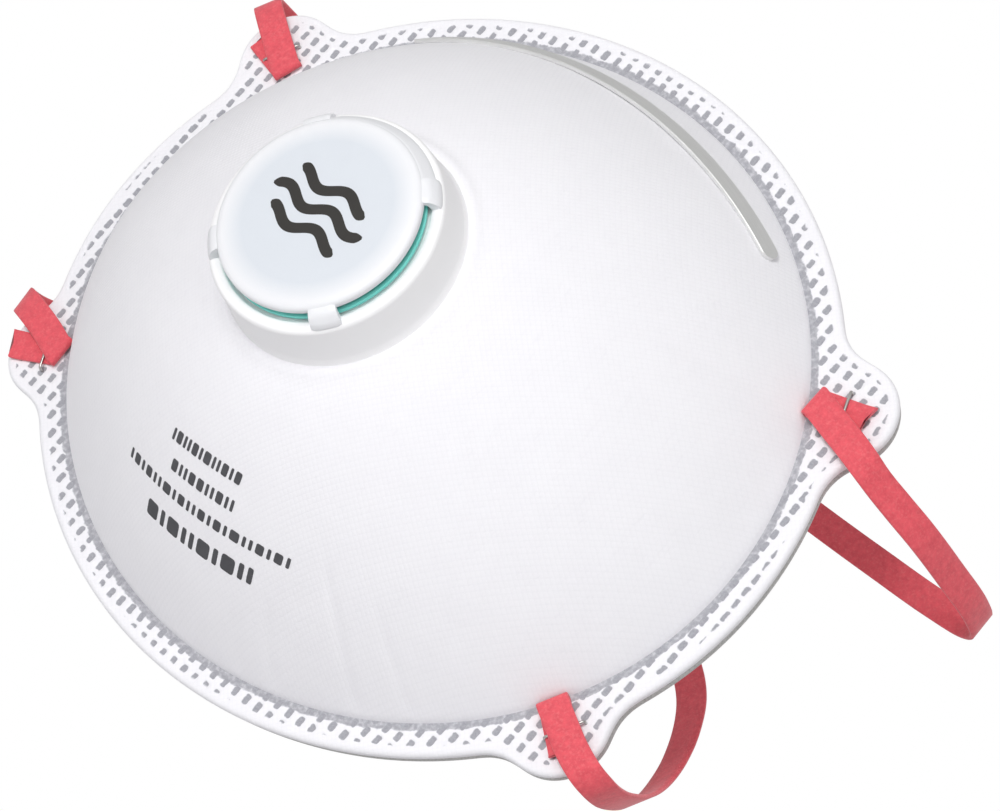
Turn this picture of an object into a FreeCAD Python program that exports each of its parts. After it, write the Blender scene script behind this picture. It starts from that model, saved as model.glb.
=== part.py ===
"""Disposable cup dust mask with an exhalation valve, in millimetres.

The mask stands as it is worn: +Z runs up to the nose, +X to the right as seen from in front,
and -Y out of the front of the cup. The origin is the middle of the face opening, on the plane
where the foam seal meets the face. Heights called "rise" are measured forwards (along -Y)
from the front surface of the stapled flange.
"""
import FreeCAD, Part
import math
import os

import Sketcher
from FreeCAD import Placement, Rotation, Vector

os.makedirs("parts", exist_ok=True)
doc = FreeCAD.newDocument("dust_mask")

# ---------------------------------------------------------------- driving dimensions
SIZES = {
    # oval foot of the cup, where it meets the flange
    "foot_half_width": 67.1,
    "foot_top": 60.7,
    "foot_bottom": 57.6,
    "foot_drop": 1.7,
    # flange round the cup and its four stapled ears
    "flange_margin": 5.4,
    "upper_ear_x": 63.4,
    "upper_ear_z": 30.5,
    "upper_ear_radius": 9.0,
    "lower_ear_x": 59.5,
    "lower_ear_z": 34.3,
    "lower_ear_radius": 8.7,
    "ear_blend": 9.0,
    # layers, from the face forwards
    "seal_depth": 2.0,
    "lining_depth": 0.4,
    "carbon_depth": 0.3,
    "filter_depth": 0.5,
    "cover_depth": 0.4,
    # cup profile: rise = apex * (1 - fraction^2) ^ power, flat under the valve
    "apex_rise": 41.3,
    "cup_power": 0.87,
    "flat_radius": 20.5,
    # exhalation valve
    "tube_bore": 12.6,
    "tube_radius": 14.0,
    "tube_depth": 3.2,
    "skirt_foot": 18.2,
    "skirt_top": 17.6,
    "skirt_wall": 1.2,
    "seat_height": 8.5,
    "lip_radius": 14.6,
    "hub_radius": 3.0,
    "pin_radius": 1.2,
    "pin_height": 1.2,
    "spoke_width": 1.6,
    "spoke_depth": 1.6,
    "disc_radius": 16.5,
    "disc_depth": 0.5,
    "disc_bore": 1.4,
    "disc_gap": 0.05,
    "disc_lift": 0.9,
    "cap_radius": 16.8,
    "cap_edge": 1.0,
    "cap_crown": 1.9,
    "cap_gap": 1.6,
    "clip_width": 4.6,
    "clip_reach": 1.5,
    "clip_drop": 4.4,
    "clamp_radius": 19.5,
    "clamp_depth": 1.4,
    # aluminium nose strip
    "nose_half_length": 40.0,
    "nose_width": 4.6,
    "nose_depth": 0.6,
    # elastic bands and the staples that hold them
    "band_width": 5.2,
    "band_depth": 0.7,
    "staple_length": 7.2,
    "wire": 0.5,
    "clinch": 2.4,
}
sheet = doc.addObject("Spreadsheet::Sheet", "sizes")
for line_number, (alias, number) in enumerate(SIZES.items(), start=1):
    sheet.set(f"A{line_number}", alias)
    sheet.set(f"B{line_number}", str(number))
    sheet.setAlias(f"B{line_number}", alias)
doc.recompute()


def size(alias):
    """The value of one cell of the sheet."""
    return float(sheet.get(alias))


LAYERS = size("lining_depth") + size("carbon_depth") + size("filter_depth") + size("cover_depth")
FLANGE_Y = -(size("seal_depth") + LAYERS)
TUBE_CLEARANCE = 0.1


# ---------------------------------------------------------------- the cup's surface
def foot_fraction(radius):
    """Fraction of the foot oval whose mean radius is the given one."""
    mean = (size("foot_half_width") * 2 + size("foot_top") + size("foot_bottom")) / 4
    return radius / mean


def cup_rise(fraction):
    return size("apex_rise") * (1 - fraction ** 2) ** size("cup_power")


def cup_slope(fraction):
    """Outward and forward parts of the unit normal of the cup at one fraction of its foot."""
    step = 1e-4
    low = min(fraction, 1 - 2 * step)
    mean = (size("foot_half_width") + size("foot_top")) / 2
    fall = (cup_rise(low) - cup_rise(low + step)) / (step * mean)
    length = math.hypot(1.0, fall)
    return fall / length, 1.0 / length


def cup_oval(fraction, inset=0.0):
    """Half width, half height above, half height below, centre height and rise of one level."""
    top = foot_fraction(size("flat_radius"))
    outward, forward = cup_slope(fraction)
    roundness = ((1 - fraction) / (1 - top)) ** 2
    halves = []
    for alias in ("foot_half_width", "foot_top", "foot_bottom"):
        oval = size(alias) * fraction
        circle = size("flat_radius") * fraction / top
        halves.append(oval + (circle - oval) * roundness - inset * outward)
    rise = cup_rise(fraction) - inset * forward
    centre = -size("foot_drop") * (1 - roundness)
    return halves[0], halves[1], halves[2], centre, rise


def oval_wire(half_width, above, below, centre, y):
    """Closed oval of two half ellipses that meet at the sides."""
    middle = Vector(0, y, centre)
    half_width = max(half_width, above + 1e-4, below + 1e-4)
    side = middle + Vector(half_width, 0, 0)
    upper = Part.Ellipse(side, middle + Vector(0, 0, above), middle)
    lower = Part.Ellipse(side, middle - Vector(0, 0, below), middle)
    edges = [Part.Arc(curve, 0, math.pi).toShape() for curve in (upper, lower)]
    return Part.Wire(Part.__sortEdges__(edges))


def cup_point(fraction, turn, lift=0.0):
    """Point on the cup's outer surface, turned from straight up towards +X, and its normal."""
    half_width, above, below, centre, rise = cup_oval(fraction)
    height = above if math.cos(turn) >= 0 else below
    outward, forward = cup_slope(fraction)
    normal = Vector(outward * math.sin(turn), -forward, outward * math.cos(turn)).normalize()
    point = Vector(half_width * math.sin(turn), FLANGE_Y - rise, centre + height * math.cos(turn))
    return point + normal * lift, normal


LEVELS = (1.0, 0.985, 0.955, 0.91, 0.85, 0.77, 0.67, 0.56, 0.45, 0.38)


def cup_solid(inset):
    """Everything behind the cup's surface moved in by inset, back to the seal's front plane."""
    fractions = LEVELS + (foot_fraction(size("flat_radius")),)
    wires = []
    for fraction in fractions:
        half_width, above, below, centre, rise = cup_oval(fraction, inset)
        y = FLANGE_Y - rise if fraction < 1 else FLANGE_Y
        wires.append(oval_wire(half_width, above, below, centre, y))
    dome = Part.makeLoft(wires, True, False)
    foot = Part.Face(wires[0]).extrude(Vector(0, LAYERS, 0))
    return dome.fuse(foot)


# ---------------------------------------------------------------- the flange
def flange_prism():
    """The whole flange with its four ears, from the face to the front of the layers."""
    margin = size("flange_margin")
    oval = oval_wire(
        size("foot_half_width") + margin,
        size("foot_top") + margin,
        size("foot_bottom") + margin,
        -size("foot_drop"),
        FLANGE_Y,
    )
    depth = Vector(0, -FLANGE_Y, 0)
    prism = Part.Face(oval).extrude(depth)
    ears = (
        (size("upper_ear_x"), size("upper_ear_z"), size("upper_ear_radius")),
        (size("lower_ear_x"), -size("lower_ear_z"), size("lower_ear_radius")),
    )
    for x, z, radius in ears:
        for side in (-1, 1):
            disc = Part.makeCylinder(radius, -FLANGE_Y, Vector(side * x, FLANGE_Y, z), Vector(0, 1, 0))
            prism = prism.fuse(disc)
    prism = prism.removeSplitter()
    corners = [edge for edge in prism.Edges if is_ear_corner(edge)]
    return prism.makeFillet(size("ear_blend"), corners)


def is_ear_corner(edge):
    """True for the straight edges where an ear leaves the oval."""
    first, last = edge.Vertexes[0].Point, edge.Vertexes[-1].Point
    straight = abs(first.x - last.x) < 1e-6 and abs(first.z - last.z) < 1e-6
    on_seam = abs(first.z + size("foot_drop")) < 1.0
    return straight and not on_seam and len(edge.Vertexes) == 2 and first.y != last.y


def slab(front, back):
    """Wide block between two depths, to slice the flange into layers."""
    reach = 120.0
    return Part.makeBox(2 * reach, back - front, 2 * reach, Vector(-reach, front, -reach))


# ---------------------------------------------------------------- document helpers
def feature(name, shape):
    """A sub-part whose shape is worked out here."""
    item = doc.addObject("Part::Feature", name)
    item.Label = name
    item.Shape = shape
    return item


def body(name, placement):
    item = doc.addObject("PartDesign::Body", name)
    item.Label = name
    item.Placement = placement
    return item


def polygon(owner, name, plane, corners):
    """Closed sketch of straight lines; each corner is a pair of expressions in sheet cells."""
    sketch = owner.newObject("Sketcher::SketchObject", name)
    origin_plane = [f for f in owner.Origin.OriginFeatures if f.Role == plane][0]
    sketch.AttachmentSupport = [(origin_plane, "")]
    sketch.MapMode = "FlatFace"
    places = [Vector(value(across), value(up), 0) for across, up in corners]
    for number, place in enumerate(places):
        following = places[(number + 1) % len(places)]
        sketch.addGeometry(Part.LineSegment(place, following), False)
    for number, (across, up) in enumerate(corners):
        before = (number - 1) % len(corners)
        sketch.addConstraint(Sketcher.Constraint("Coincident", before, 2, number, 1))
        for kind, expression, coordinate in (
            ("DistanceX", across, places[number].x),
            ("DistanceY", up, places[number].y),
        ):
            index = sketch.addConstraint(Sketcher.Constraint(kind, -1, 1, number, 1, coordinate))
            sketch.setExpression(f"Constraints[{index}]", bound(expression))
    return sketch


def bound(expression):
    """An expression in cell names, written the way the document wants it."""
    words = expression.split()
    return " ".join(f"sizes.{word}" if word in SIZES else word for word in words)


def value(expression):
    """The number that such an expression of sums, products and quotients gives."""
    words = [str(size(word)) if word in SIZES else word for word in expression.split()]
    return float(FreeCAD.Units.Quantity(" ".join(words)).Value)


def revolve(owner, name, sketch):
    turn = owner.newObject("PartDesign::Revolution", name)
    turn.Profile = sketch
    turn.ReferenceAxis = (sketch, ["V_Axis"])
    turn.Angle = 360.0
    return turn


def pad(owner, name, sketch, length):
    block = owner.newObject("PartDesign::Pad", name)
    block.Profile = sketch
    block.setExpression("Length", bound(length))
    block.SideType = "Symmetric"
    return block


def four_round(owner, name, original):
    """Four equal copies of a feature round the valve's axis."""
    pattern = owner.newObject("PartDesign::PolarPattern", name)
    pattern.Originals = [original]
    axis = [f for f in owner.Origin.OriginFeatures if f.Role == "Z_Axis"][0]
    pattern.Axis = (axis, [""])
    pattern.Angle = 360.0
    pattern.Occurrences = 4
    owner.Tip = pattern
    return pattern


# The bodies of the valve and the staples are drawn with their own Z forwards out of the mask.
FORWARD = Rotation(Vector(1, 0, 0), 90)
FLAT_RISE = cup_rise(foot_fraction(size("flat_radius")))


def on_valve(quarter_turn=0.0):
    turned = Rotation(Vector(0, 0, 1), quarter_turn)
    return Placement(Vector(0, FLANGE_Y - FLAT_RISE, 0), FORWARD.multiply(turned))


# ---------------------------------------------------------------- layers of the cup
prism = flange_prism()
staple_places = (
    # name, x, z and the crown's lean from upright, towards +X, in degrees
    ("staple_upper_left", -64.3, 30.5, 33.0),
    ("staple_upper_right", 64.3, 30.5, -21.0),
    ("staple_lower_left", -60.0, -35.2, -27.0),
    ("staple_lower_right", 62.0, -34.6, 32.0),
)
CROWN_RISE = size("band_depth") + size("wire")
CLINCH_DEPTH = 0.7
CLINCH_RISE = -(LAYERS + CLINCH_DEPTH)


def make_staple(name, x, z, lean):
    """Flat wire staple: crown over the band's tail, legs through the layers, ends turned in."""
    turned = Rotation(Vector(0, 0, 1), 90.0 - lean)
    staple = body(name, Placement(Vector(x, FLANGE_Y, z), FORWARD.multiply(turned)))
    top = f"{CROWN_RISE}"
    bottom = f"{CLINCH_RISE}"
    outer = "staple_length / 2"
    inner = "staple_length / 2 - wire"
    corners = [
        (f"-1 * {outer}", top),
        (outer, top),
        (outer, bottom),
        (f"{outer} - clinch", bottom),
        (f"{outer} - clinch", f"{bottom} + wire"),
        (inner, f"{bottom} + wire"),
        (inner, f"{top} - wire"),
        ("wire - staple_length / 2", f"{top} - wire"),
        ("wire - staple_length / 2", f"{bottom} + wire"),
        ("clinch - staple_length / 2", f"{bottom} + wire"),
        ("clinch - staple_length / 2", bottom),
        (f"-1 * {outer}", bottom),
    ]
    outline = polygon(staple, f"{name}_outline", "XZ_Plane", corners)
    pad(staple, f"{name}_wire", outline, "wire")
    return staple


staples = [make_staple(*place) for place in staple_places]
doc.recompute()
staple_metal = staples[0].Shape.multiFuse([staple.Shape for staple in staples[1:]])
valve_hole = Part.makeCylinder(
    size("tube_radius") + TUBE_CLEARANCE,
    20.0,
    Vector(0, FLANGE_Y - FLAT_RISE - 10.0, 0),
    Vector(0, 1, 0),
)

insets = [0.0]
for alias in ("cover_depth", "filter_depth", "carbon_depth", "lining_depth"):
    insets.append(insets[-1] + size(alias))
blanks = []
for inset in insets:
    blank = cup_solid(inset)
    if inset < LAYERS - 1e-6:
        blank = blank.fuse(prism.common(slab(FLANGE_Y + inset, FLANGE_Y + LAYERS)))
    blanks.append(blank)
for number, name in enumerate(("outer_cover", "filter_layer", "carbon_layer", "inner_lining")):
    layer = blanks[number].cut(blanks[number + 1]).cut(valve_hole).cut(staple_metal)
    feature(name, layer.removeSplitter())

opening = cup_oval(1.0, LAYERS)
mouth = oval_wire(opening[0], opening[1], opening[2], opening[3], FLANGE_Y)
mouth_plug = Part.Face(mouth).extrude(Vector(0, -FLANGE_Y + 1.0, 0))
seal = prism.common(slab(-size("seal_depth"), 0.0)).cut(mouth_plug).cut(staple_metal)
feature("face_seal_foam", seal)


# ---------------------------------------------------------------- ribbons
def ribbon(stations, width, depth):
    """Flat strip lofted through stations of (centre, direction across the strip)."""
    centres = [centre for centre, across in stations]
    wires = []
    for number, (centre, across) in enumerate(stations):
        before = centres[max(number - 1, 0)]
        after = centres[min(number + 1, len(centres) - 1)]
        along = (after - before).normalize()
        across = (across - along * across.dot(along)).normalize()
        through = along.cross(across).normalize()
        a, b = across * (width / 2), through * (depth / 2)
        ring = [centre - a - b, centre + a - b, centre + a + b, centre - a + b, centre - a - b]
        wires.append(Part.makePolygon(ring))
    return Part.makeLoft(wires, True, False)


NOSE_MIDDLE_FRACTION = 0.895
NOSE_TIP_FALL = 0.055
NOSE_GLUE = 0.12


def nose_station(share):
    """Station on the nose strip, from -1 at its left tip to 1 at its right tip."""
    fraction = NOSE_MIDDLE_FRACTION + NOSE_TIP_FALL * share ** 2
    half_width = cup_oval(fraction)[0]
    turn = math.asin(size("nose_half_length") * share / half_width)
    lift = size("nose_depth") / 2 + NOSE_GLUE
    point, normal = cup_point(fraction, turn, lift)
    ahead, _ = cup_point(fraction, turn + 0.01, lift)
    return point, normal.cross(ahead - point)


NOSE_STEPS = 12
nose_stations = [nose_station(-1 + 2 * step / NOSE_STEPS) for step in range(NOSE_STEPS + 1)]
feature("nose_clip", ribbon(nose_stations, size("nose_width"), size("nose_depth")))


# ---------------------------------------------------------------- exhalation valve
def make_valve_seat():
    """Moulded seat: hub and pin on four spokes, sealing rim, skirt and the tube through the cup."""
    seat = body("valve_seat", on_valve(45.0))
    top = "seat_height"
    hub = [
        ("0", f"{top} - 0.5 - spoke_depth"),
        ("hub_radius", f"{top} - 0.5 - spoke_depth"),
        ("hub_radius", f"{top} - 0.5"),
        ("pin_radius", f"{top} - 0.5"),
        ("pin_radius", f"{top} + pin_height"),
        ("0", f"{top} + pin_height"),
    ]
    revolve(seat, "seat_hub", polygon(seat, "hub_outline", "XZ_Plane", hub))
    spoke = [
        ("pin_radius", f"{top} - 0.5 - spoke_depth"),
        ("tube_radius - 0.3", f"{top} - 0.5 - spoke_depth"),
        ("tube_radius - 0.3", f"{top} - 0.5"),
        ("pin_radius", f"{top} - 0.5"),
    ]
    arm = pad(seat, "seat_spoke", polygon(seat, "spoke_outline", "XZ_Plane", spoke), "spoke_width")
    four_round(seat, "seat_spokes", arm)
    ring = [
        ("tube_bore", "0 - tube_depth"),
        ("tube_radius", "0 - tube_depth"),
        ("tube_radius", f"{top} - skirt_wall"),
        ("skirt_top - skirt_wall", f"{top} - skirt_wall"),
        ("skirt_foot - skirt_wall", "0"),
        ("skirt_foot", "0"),
        ("skirt_top", top),
        ("lip_radius", top),
        ("lip_radius - 0.4", f"{top} - 0.5"),
        ("tube_bore", f"{top} - 0.5"),
    ]
    rim = revolve(seat, "seat_ring", polygon(seat, "ring_outline", "XZ_Plane", ring))
    seat.Tip = rim
    return seat


def make_disc():
    """Thin silicone disc that rests on the sealing rim and slides on the pin as it lifts."""
    disc = body("valve_disc", on_valve())
    low = "seat_height + disc_gap"
    outline = [
        ("disc_bore", low),
        ("disc_radius", low),
        ("disc_radius", f"{low} + disc_depth"),
        ("disc_bore", f"{low} + disc_depth"),
    ]
    revolve(disc, "disc_turned", polygon(disc, "disc_outline", "XZ_Plane", outline))
    return disc


def make_cap():
    """Crowned cap that stands off the rim on four clips, so that air leaves all round it."""
    cap = body("valve_cap", on_valve(45.0))
    low = "seat_height + cap_gap"
    outline = [
        ("0", low),
        ("cap_radius", low),
        ("cap_radius", f"{low} + cap_edge"),
        ("cap_radius - 0.8", f"{low} + cap_edge + 0.5"),
        ("cap_radius * 0.6", f"{low} + cap_crown - 0.1"),
        ("0", f"{low} + cap_crown"),
    ]
    revolve(cap, "cap_turned", polygon(cap, "cap_outline", "XZ_Plane", outline))
    foot = f"{low} - clip_drop"
    clip = [
        ("cap_radius - 0.6", low),
        ("skirt_foot", low),
        ("skirt_foot", foot),
        ("skirt_foot + 0.9", foot),
        ("skirt_foot + 0.9", f"{low} + 0.6"),
        ("skirt_foot + 0.5", f"{low} + cap_edge"),
        ("cap_radius - 0.6", f"{low} + cap_edge"),
    ]
    leg = pad(cap, "cap_clip", polygon(cap, "clip_outline", "XZ_Plane", clip), "clip_width")
    four_round(cap, "cap_clips", leg)
    return cap


def make_clamp_ring():
    """Ring pressed onto the tube inside the cup, which grips the layers against the skirt."""
    ring = body("valve_clamp_ring", on_valve())
    top = f"0 - {LAYERS}"
    outline = [
        ("tube_radius", f"{top} - clamp_depth"),
        ("clamp_radius", f"{top} - clamp_depth"),
        ("clamp_radius", top),
        ("tube_radius", top),
    ]
    revolve(ring, "ring_turned", polygon(ring, "ring_section", "XZ_Plane", outline))
    return ring


make_valve_seat()
make_disc()
make_cap()
make_clamp_ring()

# ---------------------------------------------------------------- elastic bands
# Each band is one strip of elastic. From its right fold it runs out over its own tail and the
# staple, round the edge of the ear, behind the mask and back to its left fold the same way.
# It swings like a bail about the line through the places where it crosses the two ears' edges,
# so the loop that swings is parted from the two stapled ends there.
OVER_CLEARANCE = 0.05
OVER_Y = FLANGE_Y - CROWN_RISE - OVER_CLEARANCE - size("band_depth") / 2
SWING_GAP = 0.4
# Stations of a run over an ear, and how many of them the loop shares to bend alike where they part.
EAR_STATIONS = 5
SHARED_STATIONS = 3
UPPER_ROUTE = (
    # place, and the direction across the strip
    ((59.8, OVER_Y, 29.1), (0.08, 0.0, 1.0)),
    ((65.0, OVER_Y, 27.5), (0.08, 0.0, 1.0)),
    ((70.6, OVER_Y, 25.8), (0.08, 0.0, 1.0)),
    ((73.4, -4.2, 24.9), (0.05, 0.05, 1.0)),
    ((75.2, -2.2, 24.4), (0.0, 0.1, 1.0)),
    ((78.4, 1.3, 23.8), (0.0, 0.05, 1.0)),
    ((82.0, 6.0, 23.3), (0.0, 0.0, 1.0)),
    ((86.1, 16.1, 22.8), (0.0, 0.0, 1.0)),
    ((88.7, 25.9, 22.5), (0.0, 0.0, 1.0)),
    ((88.3, 31.6, 22.3), (0.0, 0.0, 1.0)),
    ((84.6, 35.6, 22.3), (0.0, 0.0, 1.0)),
    ((77.3, 36.6, 22.3), (0.0, 0.0, 1.0)),
    ((65.8, 36.0, 22.5), (0.0, 0.0, 1.0)),
    ((53.2, 35.4, 22.9), (0.0, 0.0, 1.0)),
    ((30.0, 36.8, 24.8), (0.1, 0.0, 1.0)),
    ((2.0, 39.0, 28.2), (0.12, 0.0, 1.0)),
    ((-27.0, 38.8, 32.0), (0.12, 0.0, 1.0)),
    ((-50.0, 34.2, 35.2), (0.15, 0.0, 1.0)),
    ((-65.0, 23.5, 37.2), (0.2, 0.1, 1.0)),
    ((-73.0, 11.0, 38.0), (0.3, 0.1, 0.95)),
    ((-75.6, 2.5, 37.7), (0.45, 0.05, 0.9)),
    ((-75.3, -1.9, 37.2), (0.55, 0.0, 0.84)),
    ((-73.5, -4.3, 36.4), (0.55, 0.0, 0.84)),
    ((-70.2, OVER_Y, 34.4), (0.55, 0.0, 0.84)),
    ((-65.5, OVER_Y, 31.4), (0.55, 0.0, 0.84)),
    ((-61.0, OVER_Y, 28.6), (0.55, 0.0, 0.84)),
)
LOWER_ROUTE = (
    ((57.9, OVER_Y, -32.4), (0.52, 0.0, 0.86)),
    ((62.0, OVER_Y, -34.6), (0.52, 0.0, 0.86)),
    ((66.4, OVER_Y, -36.8), (0.52, 0.0, 0.86)),
    ((69.6, -4.3, -38.0), (0.52, 0.0, 0.86)),
    ((71.2, -1.9, -38.3), (0.52, 0.05, 0.86)),
    ((71.5, 2.4, -38.0), (0.5, 0.1, 0.86)),
    ((71.0, 8.4, -36.5), (0.5, 0.1, 0.86)),
    ((69.6, 15.2, -33.8), (0.5, 0.05, 0.86)),
    ((67.4, 21.2, -29.7), (0.5, 0.0, 0.86)),
    ((64.9, 25.2, -24.4), (0.48, -0.05, 0.87)),
    ((62.0, 27.8, -19.4), (0.45, -0.05, 0.88)),
    ((58.0, 30.2, -14.4), (0.42, 0.0, 0.9)),
    ((52.4, 32.4, -10.2), (0.4, 0.0, 0.92)),
    ((41.0, 35.6, -6.2), (0.3, 0.0, 0.95)),
    ((20.0, 38.8, -4.0), (0.1, 0.0, 1.0)),
    ((-4.0, 39.2, -4.6), (-0.05, 0.0, 1.0)),
    ((-28.0, 36.2, -8.2), (-0.15, 0.0, 1.0)),
    ((-48.0, 29.6, -14.2), (-0.25, 0.0, 1.0)),
    ((-62.0, 19.6, -21.6), (-0.3, -0.1, 0.95)),
    ((-70.0, 9.2, -27.0), (-0.25, -0.15, 0.95)),
    ((-72.9, 2.2, -29.6), (-0.15, -0.1, 1.0)),
    ((-72.6, -2.0, -30.2), (-0.1, 0.0, 1.0)),
    ((-70.6, -4.3, -30.5), (-0.1, 0.0, 1.0)),
    ((-67.4, OVER_Y, -31.1), (-0.1, 0.0, 1.0)),
    ((-62.0, OVER_Y, -32.4), (-0.1, 0.0, 1.0)),
    ((-57.7, OVER_Y, -33.8), (-0.1, 0.0, 1.0)),
)
BANDS = (
    # name, route, right and left tail ends (x, z), right and left points on the swing line
    ("upper_band", UPPER_ROUTE, (68.6, 31.0), (-69.8, 30.9), (73.4, -4.2, 24.9), (-73.5, -4.3, 36.4)),
    ("lower_band", LOWER_ROUTE, (64.9, -37.6), (-66.6, -37.6), (69.6, -4.3, -38.0), (-70.6, -4.3, -30.5)),
)


def stapled_tail(fold, tail_end):
    """Flat tail on the flange, and the fold that brings the band back over it."""
    width, depth = size("band_width"), size("band_depth")
    run = Vector(tail_end[0] - fold.x, 0, tail_end[1] - fold.z)
    angle = math.degrees(math.atan2(-run.z, run.x))
    stack = FLANGE_Y - (OVER_Y - depth / 2)
    flat = Part.makeBox(run.Length, depth, width, Vector(0, -depth, -width / 2))
    turn = Part.makeBox(depth, stack, width, Vector(-depth / 2, -stack, -width / 2))
    place = Placement(Vector(fold.x, FLANGE_Y, fold.z), Rotation(Vector(0, 1, 0), angle))
    flat.Placement = place
    turn.Placement = place
    return turn.fuse(flat)


def over_ear(swing_point, outward, margin):
    """Block round a band's run over its ear, from a plane square to the swing line inwards."""
    inwards, in_front, behind, tall = 25.0, 4.0, 3.9, 40.0
    block = Part.makeBox(inwards, in_front + behind, tall, Vector(-inwards + margin, -in_front, -tall / 2))
    block.Placement = Placement(swing_point, Rotation(Vector(1, 0, 0), outward))
    return block


def make_band(name, route, right_tail, left_tail, right_swing, left_swing):
    """The loop that swings, and its two stapled ends."""
    width, depth = size("band_width"), size("band_depth")
    stations = [(Vector(*place), Vector(*across)) for place, across in route]
    line = (Vector(*right_swing) - Vector(*left_swing)).normalize()
    skipped = EAR_STATIONS - SHARED_STATIONS
    loop = ribbon(stations[skipped:-skipped], width, depth)
    ends = (
        ("right", Vector(*right_swing), line, stations[:EAR_STATIONS], right_tail),
        ("left", Vector(*left_swing), -line, stations[-EAR_STATIONS:][::-1], left_tail),
    )
    for side, swing_point, outward, run, tail_end in ends:
        over = ribbon(run, width, depth).common(over_ear(swing_point, outward, -SWING_GAP / 2))
        end = over.fuse(stapled_tail(run[0][0], tail_end)).cut(staple_metal)
        feature(f"{name}_end_{side}", end.removeSplitter())
        loop = loop.cut(over_ear(swing_point, outward, SWING_GAP / 2))
    feature(name, loop)


for band in BANDS:
    make_band(*band)

# ---------------------------------------------------------------- checks and export
doc.recompute()
parts = [item for item in doc.Objects if item.TypeId in ("PartDesign::Body", "Part::Feature")]
for item in doc.Objects:
    if "Invalid" in item.State or "Error" in item.State:
        raise RuntimeError(f"{item.Name} did not build: {item.State}")
for item in parts:
    shape = item.Shape
    if shape.isNull() or not shape.isValid() or shape.Volume <= 0:
        raise RuntimeError(f"{item.Label} is not a valid solid")
    print(f"{item.Label}: {len(shape.Solids)} solid, {shape.Volume:.1f} cubic mm")
for item in parts:
    item.Shape.exportStep(f"parts/{item.Label}.step")
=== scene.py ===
# %% [markdown]
# # A disposable dust mask
# A cup mask is pressed from four webs of nonwoven: a tough white cover, a filter, a grey felt and
# a smooth lining. A hot tool welds them together round the foot of the cup and presses rows of
# small dashes into the flat rim. Two elastic bands are stapled to four ears, a soft metal strip
# sits over the nose, and a round valve lets breath out at the front.
#
# The file goes the same way as the work on a bench: measure the frame, set up the studio, mix the
# finishes, then make the cup, the seal, the strip, the valve, the staples and the bands.

import math

import bpy
import numpy as np
from mathutils import Matrix, Vector


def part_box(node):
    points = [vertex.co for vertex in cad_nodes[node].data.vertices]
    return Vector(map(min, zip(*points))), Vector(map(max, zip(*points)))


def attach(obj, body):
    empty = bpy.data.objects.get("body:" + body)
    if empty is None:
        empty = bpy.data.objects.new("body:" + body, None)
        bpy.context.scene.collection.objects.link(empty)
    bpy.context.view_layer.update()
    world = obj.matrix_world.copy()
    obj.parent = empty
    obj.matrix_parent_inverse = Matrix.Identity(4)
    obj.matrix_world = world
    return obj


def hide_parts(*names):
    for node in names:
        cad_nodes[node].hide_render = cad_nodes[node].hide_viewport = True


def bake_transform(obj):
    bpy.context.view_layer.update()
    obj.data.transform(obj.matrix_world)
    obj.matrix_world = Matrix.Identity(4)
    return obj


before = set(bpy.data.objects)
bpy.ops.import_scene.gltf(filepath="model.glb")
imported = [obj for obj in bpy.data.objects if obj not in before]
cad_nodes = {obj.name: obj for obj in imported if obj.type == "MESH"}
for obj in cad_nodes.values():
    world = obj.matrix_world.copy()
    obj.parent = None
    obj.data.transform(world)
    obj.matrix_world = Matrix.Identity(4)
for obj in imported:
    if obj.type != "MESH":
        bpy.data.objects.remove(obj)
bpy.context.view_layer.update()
MM = 0.001

# %% [markdown]
# ## Studio
# The camera comes first, because every later choice is judged through it. It stands low and to
# the right of the wearer's nose, rolled over as if the mask lay tilted on the table, with a long
# lens so that the cup keeps its true outline. White goods want a bright, even surround: a white
# world that only the camera sees at full strength, and a few very large soft lights.

# %% Camera, lights, world and floor
CAMERA_PLACE = Vector((0.3086, -0.4678, -0.0914))
CAMERA_BACK = Vector((0.5265, -0.8343, -0.1661))
CAMERA_UP = Vector((-0.4785, -0.4522, 0.7531))
CAMERA_LENS = 126
FLOOR_HEIGHT = -0.15


def aim(item, place, back, up):
    """Stand an object at a place, looking away from back, with up upwards."""
    right = up.cross(back).normalized()
    item.matrix_world = Matrix.Translation(place) @ Matrix((right, up, back)).transposed().to_4x4()


def add_camera():
    camera = bpy.data.objects.new("camera", bpy.data.cameras.new("camera"))
    camera.data.lens = CAMERA_LENS
    camera.data.clip_start = 0.01
    bpy.context.scene.collection.objects.link(camera)
    aim(camera, CAMERA_PLACE, CAMERA_BACK.normalized(), CAMERA_UP.normalized())
    bpy.context.scene.camera = camera


def add_light(name, place, target, width, power):
    """A round, soft light at a place, facing a target."""
    light = bpy.data.objects.new(name, bpy.data.lights.new(name, "AREA"))
    light.data.shape = "DISK"
    light.data.size = width
    light.data.energy = power
    bpy.context.scene.collection.objects.link(light)
    back = (Vector(place) - Vector(target)).normalized()
    side = Vector((0, 0, 1)).cross(back).normalized()
    aim(light, Vector(place), back, back.cross(side))


def add_world(seen, lit):
    """White for the camera, softer as a light."""
    world = bpy.data.worlds.new("surround")
    world.use_nodes = True
    nodes, links = world.node_tree.nodes, world.node_tree.links
    nodes.clear()
    output = nodes.new("ShaderNodeOutputWorld")
    mix = nodes.new("ShaderNodeMixShader")
    path = nodes.new("ShaderNodeLightPath")
    backgrounds = [nodes.new("ShaderNodeBackground") for _ in range(2)]
    for background, strength in zip(backgrounds, (lit, seen)):
        background.inputs["Color"].default_value = (1, 1, 1, 1)
        background.inputs["Strength"].default_value = strength
    links.new(path.outputs["Is Camera Ray"], mix.inputs[0])
    links.new(backgrounds[0].outputs[0], mix.inputs[1])
    links.new(backgrounds[1].outputs[0], mix.inputs[2])
    links.new(mix.outputs[0], output.inputs["Surface"])
    bpy.context.scene.world = world


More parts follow.
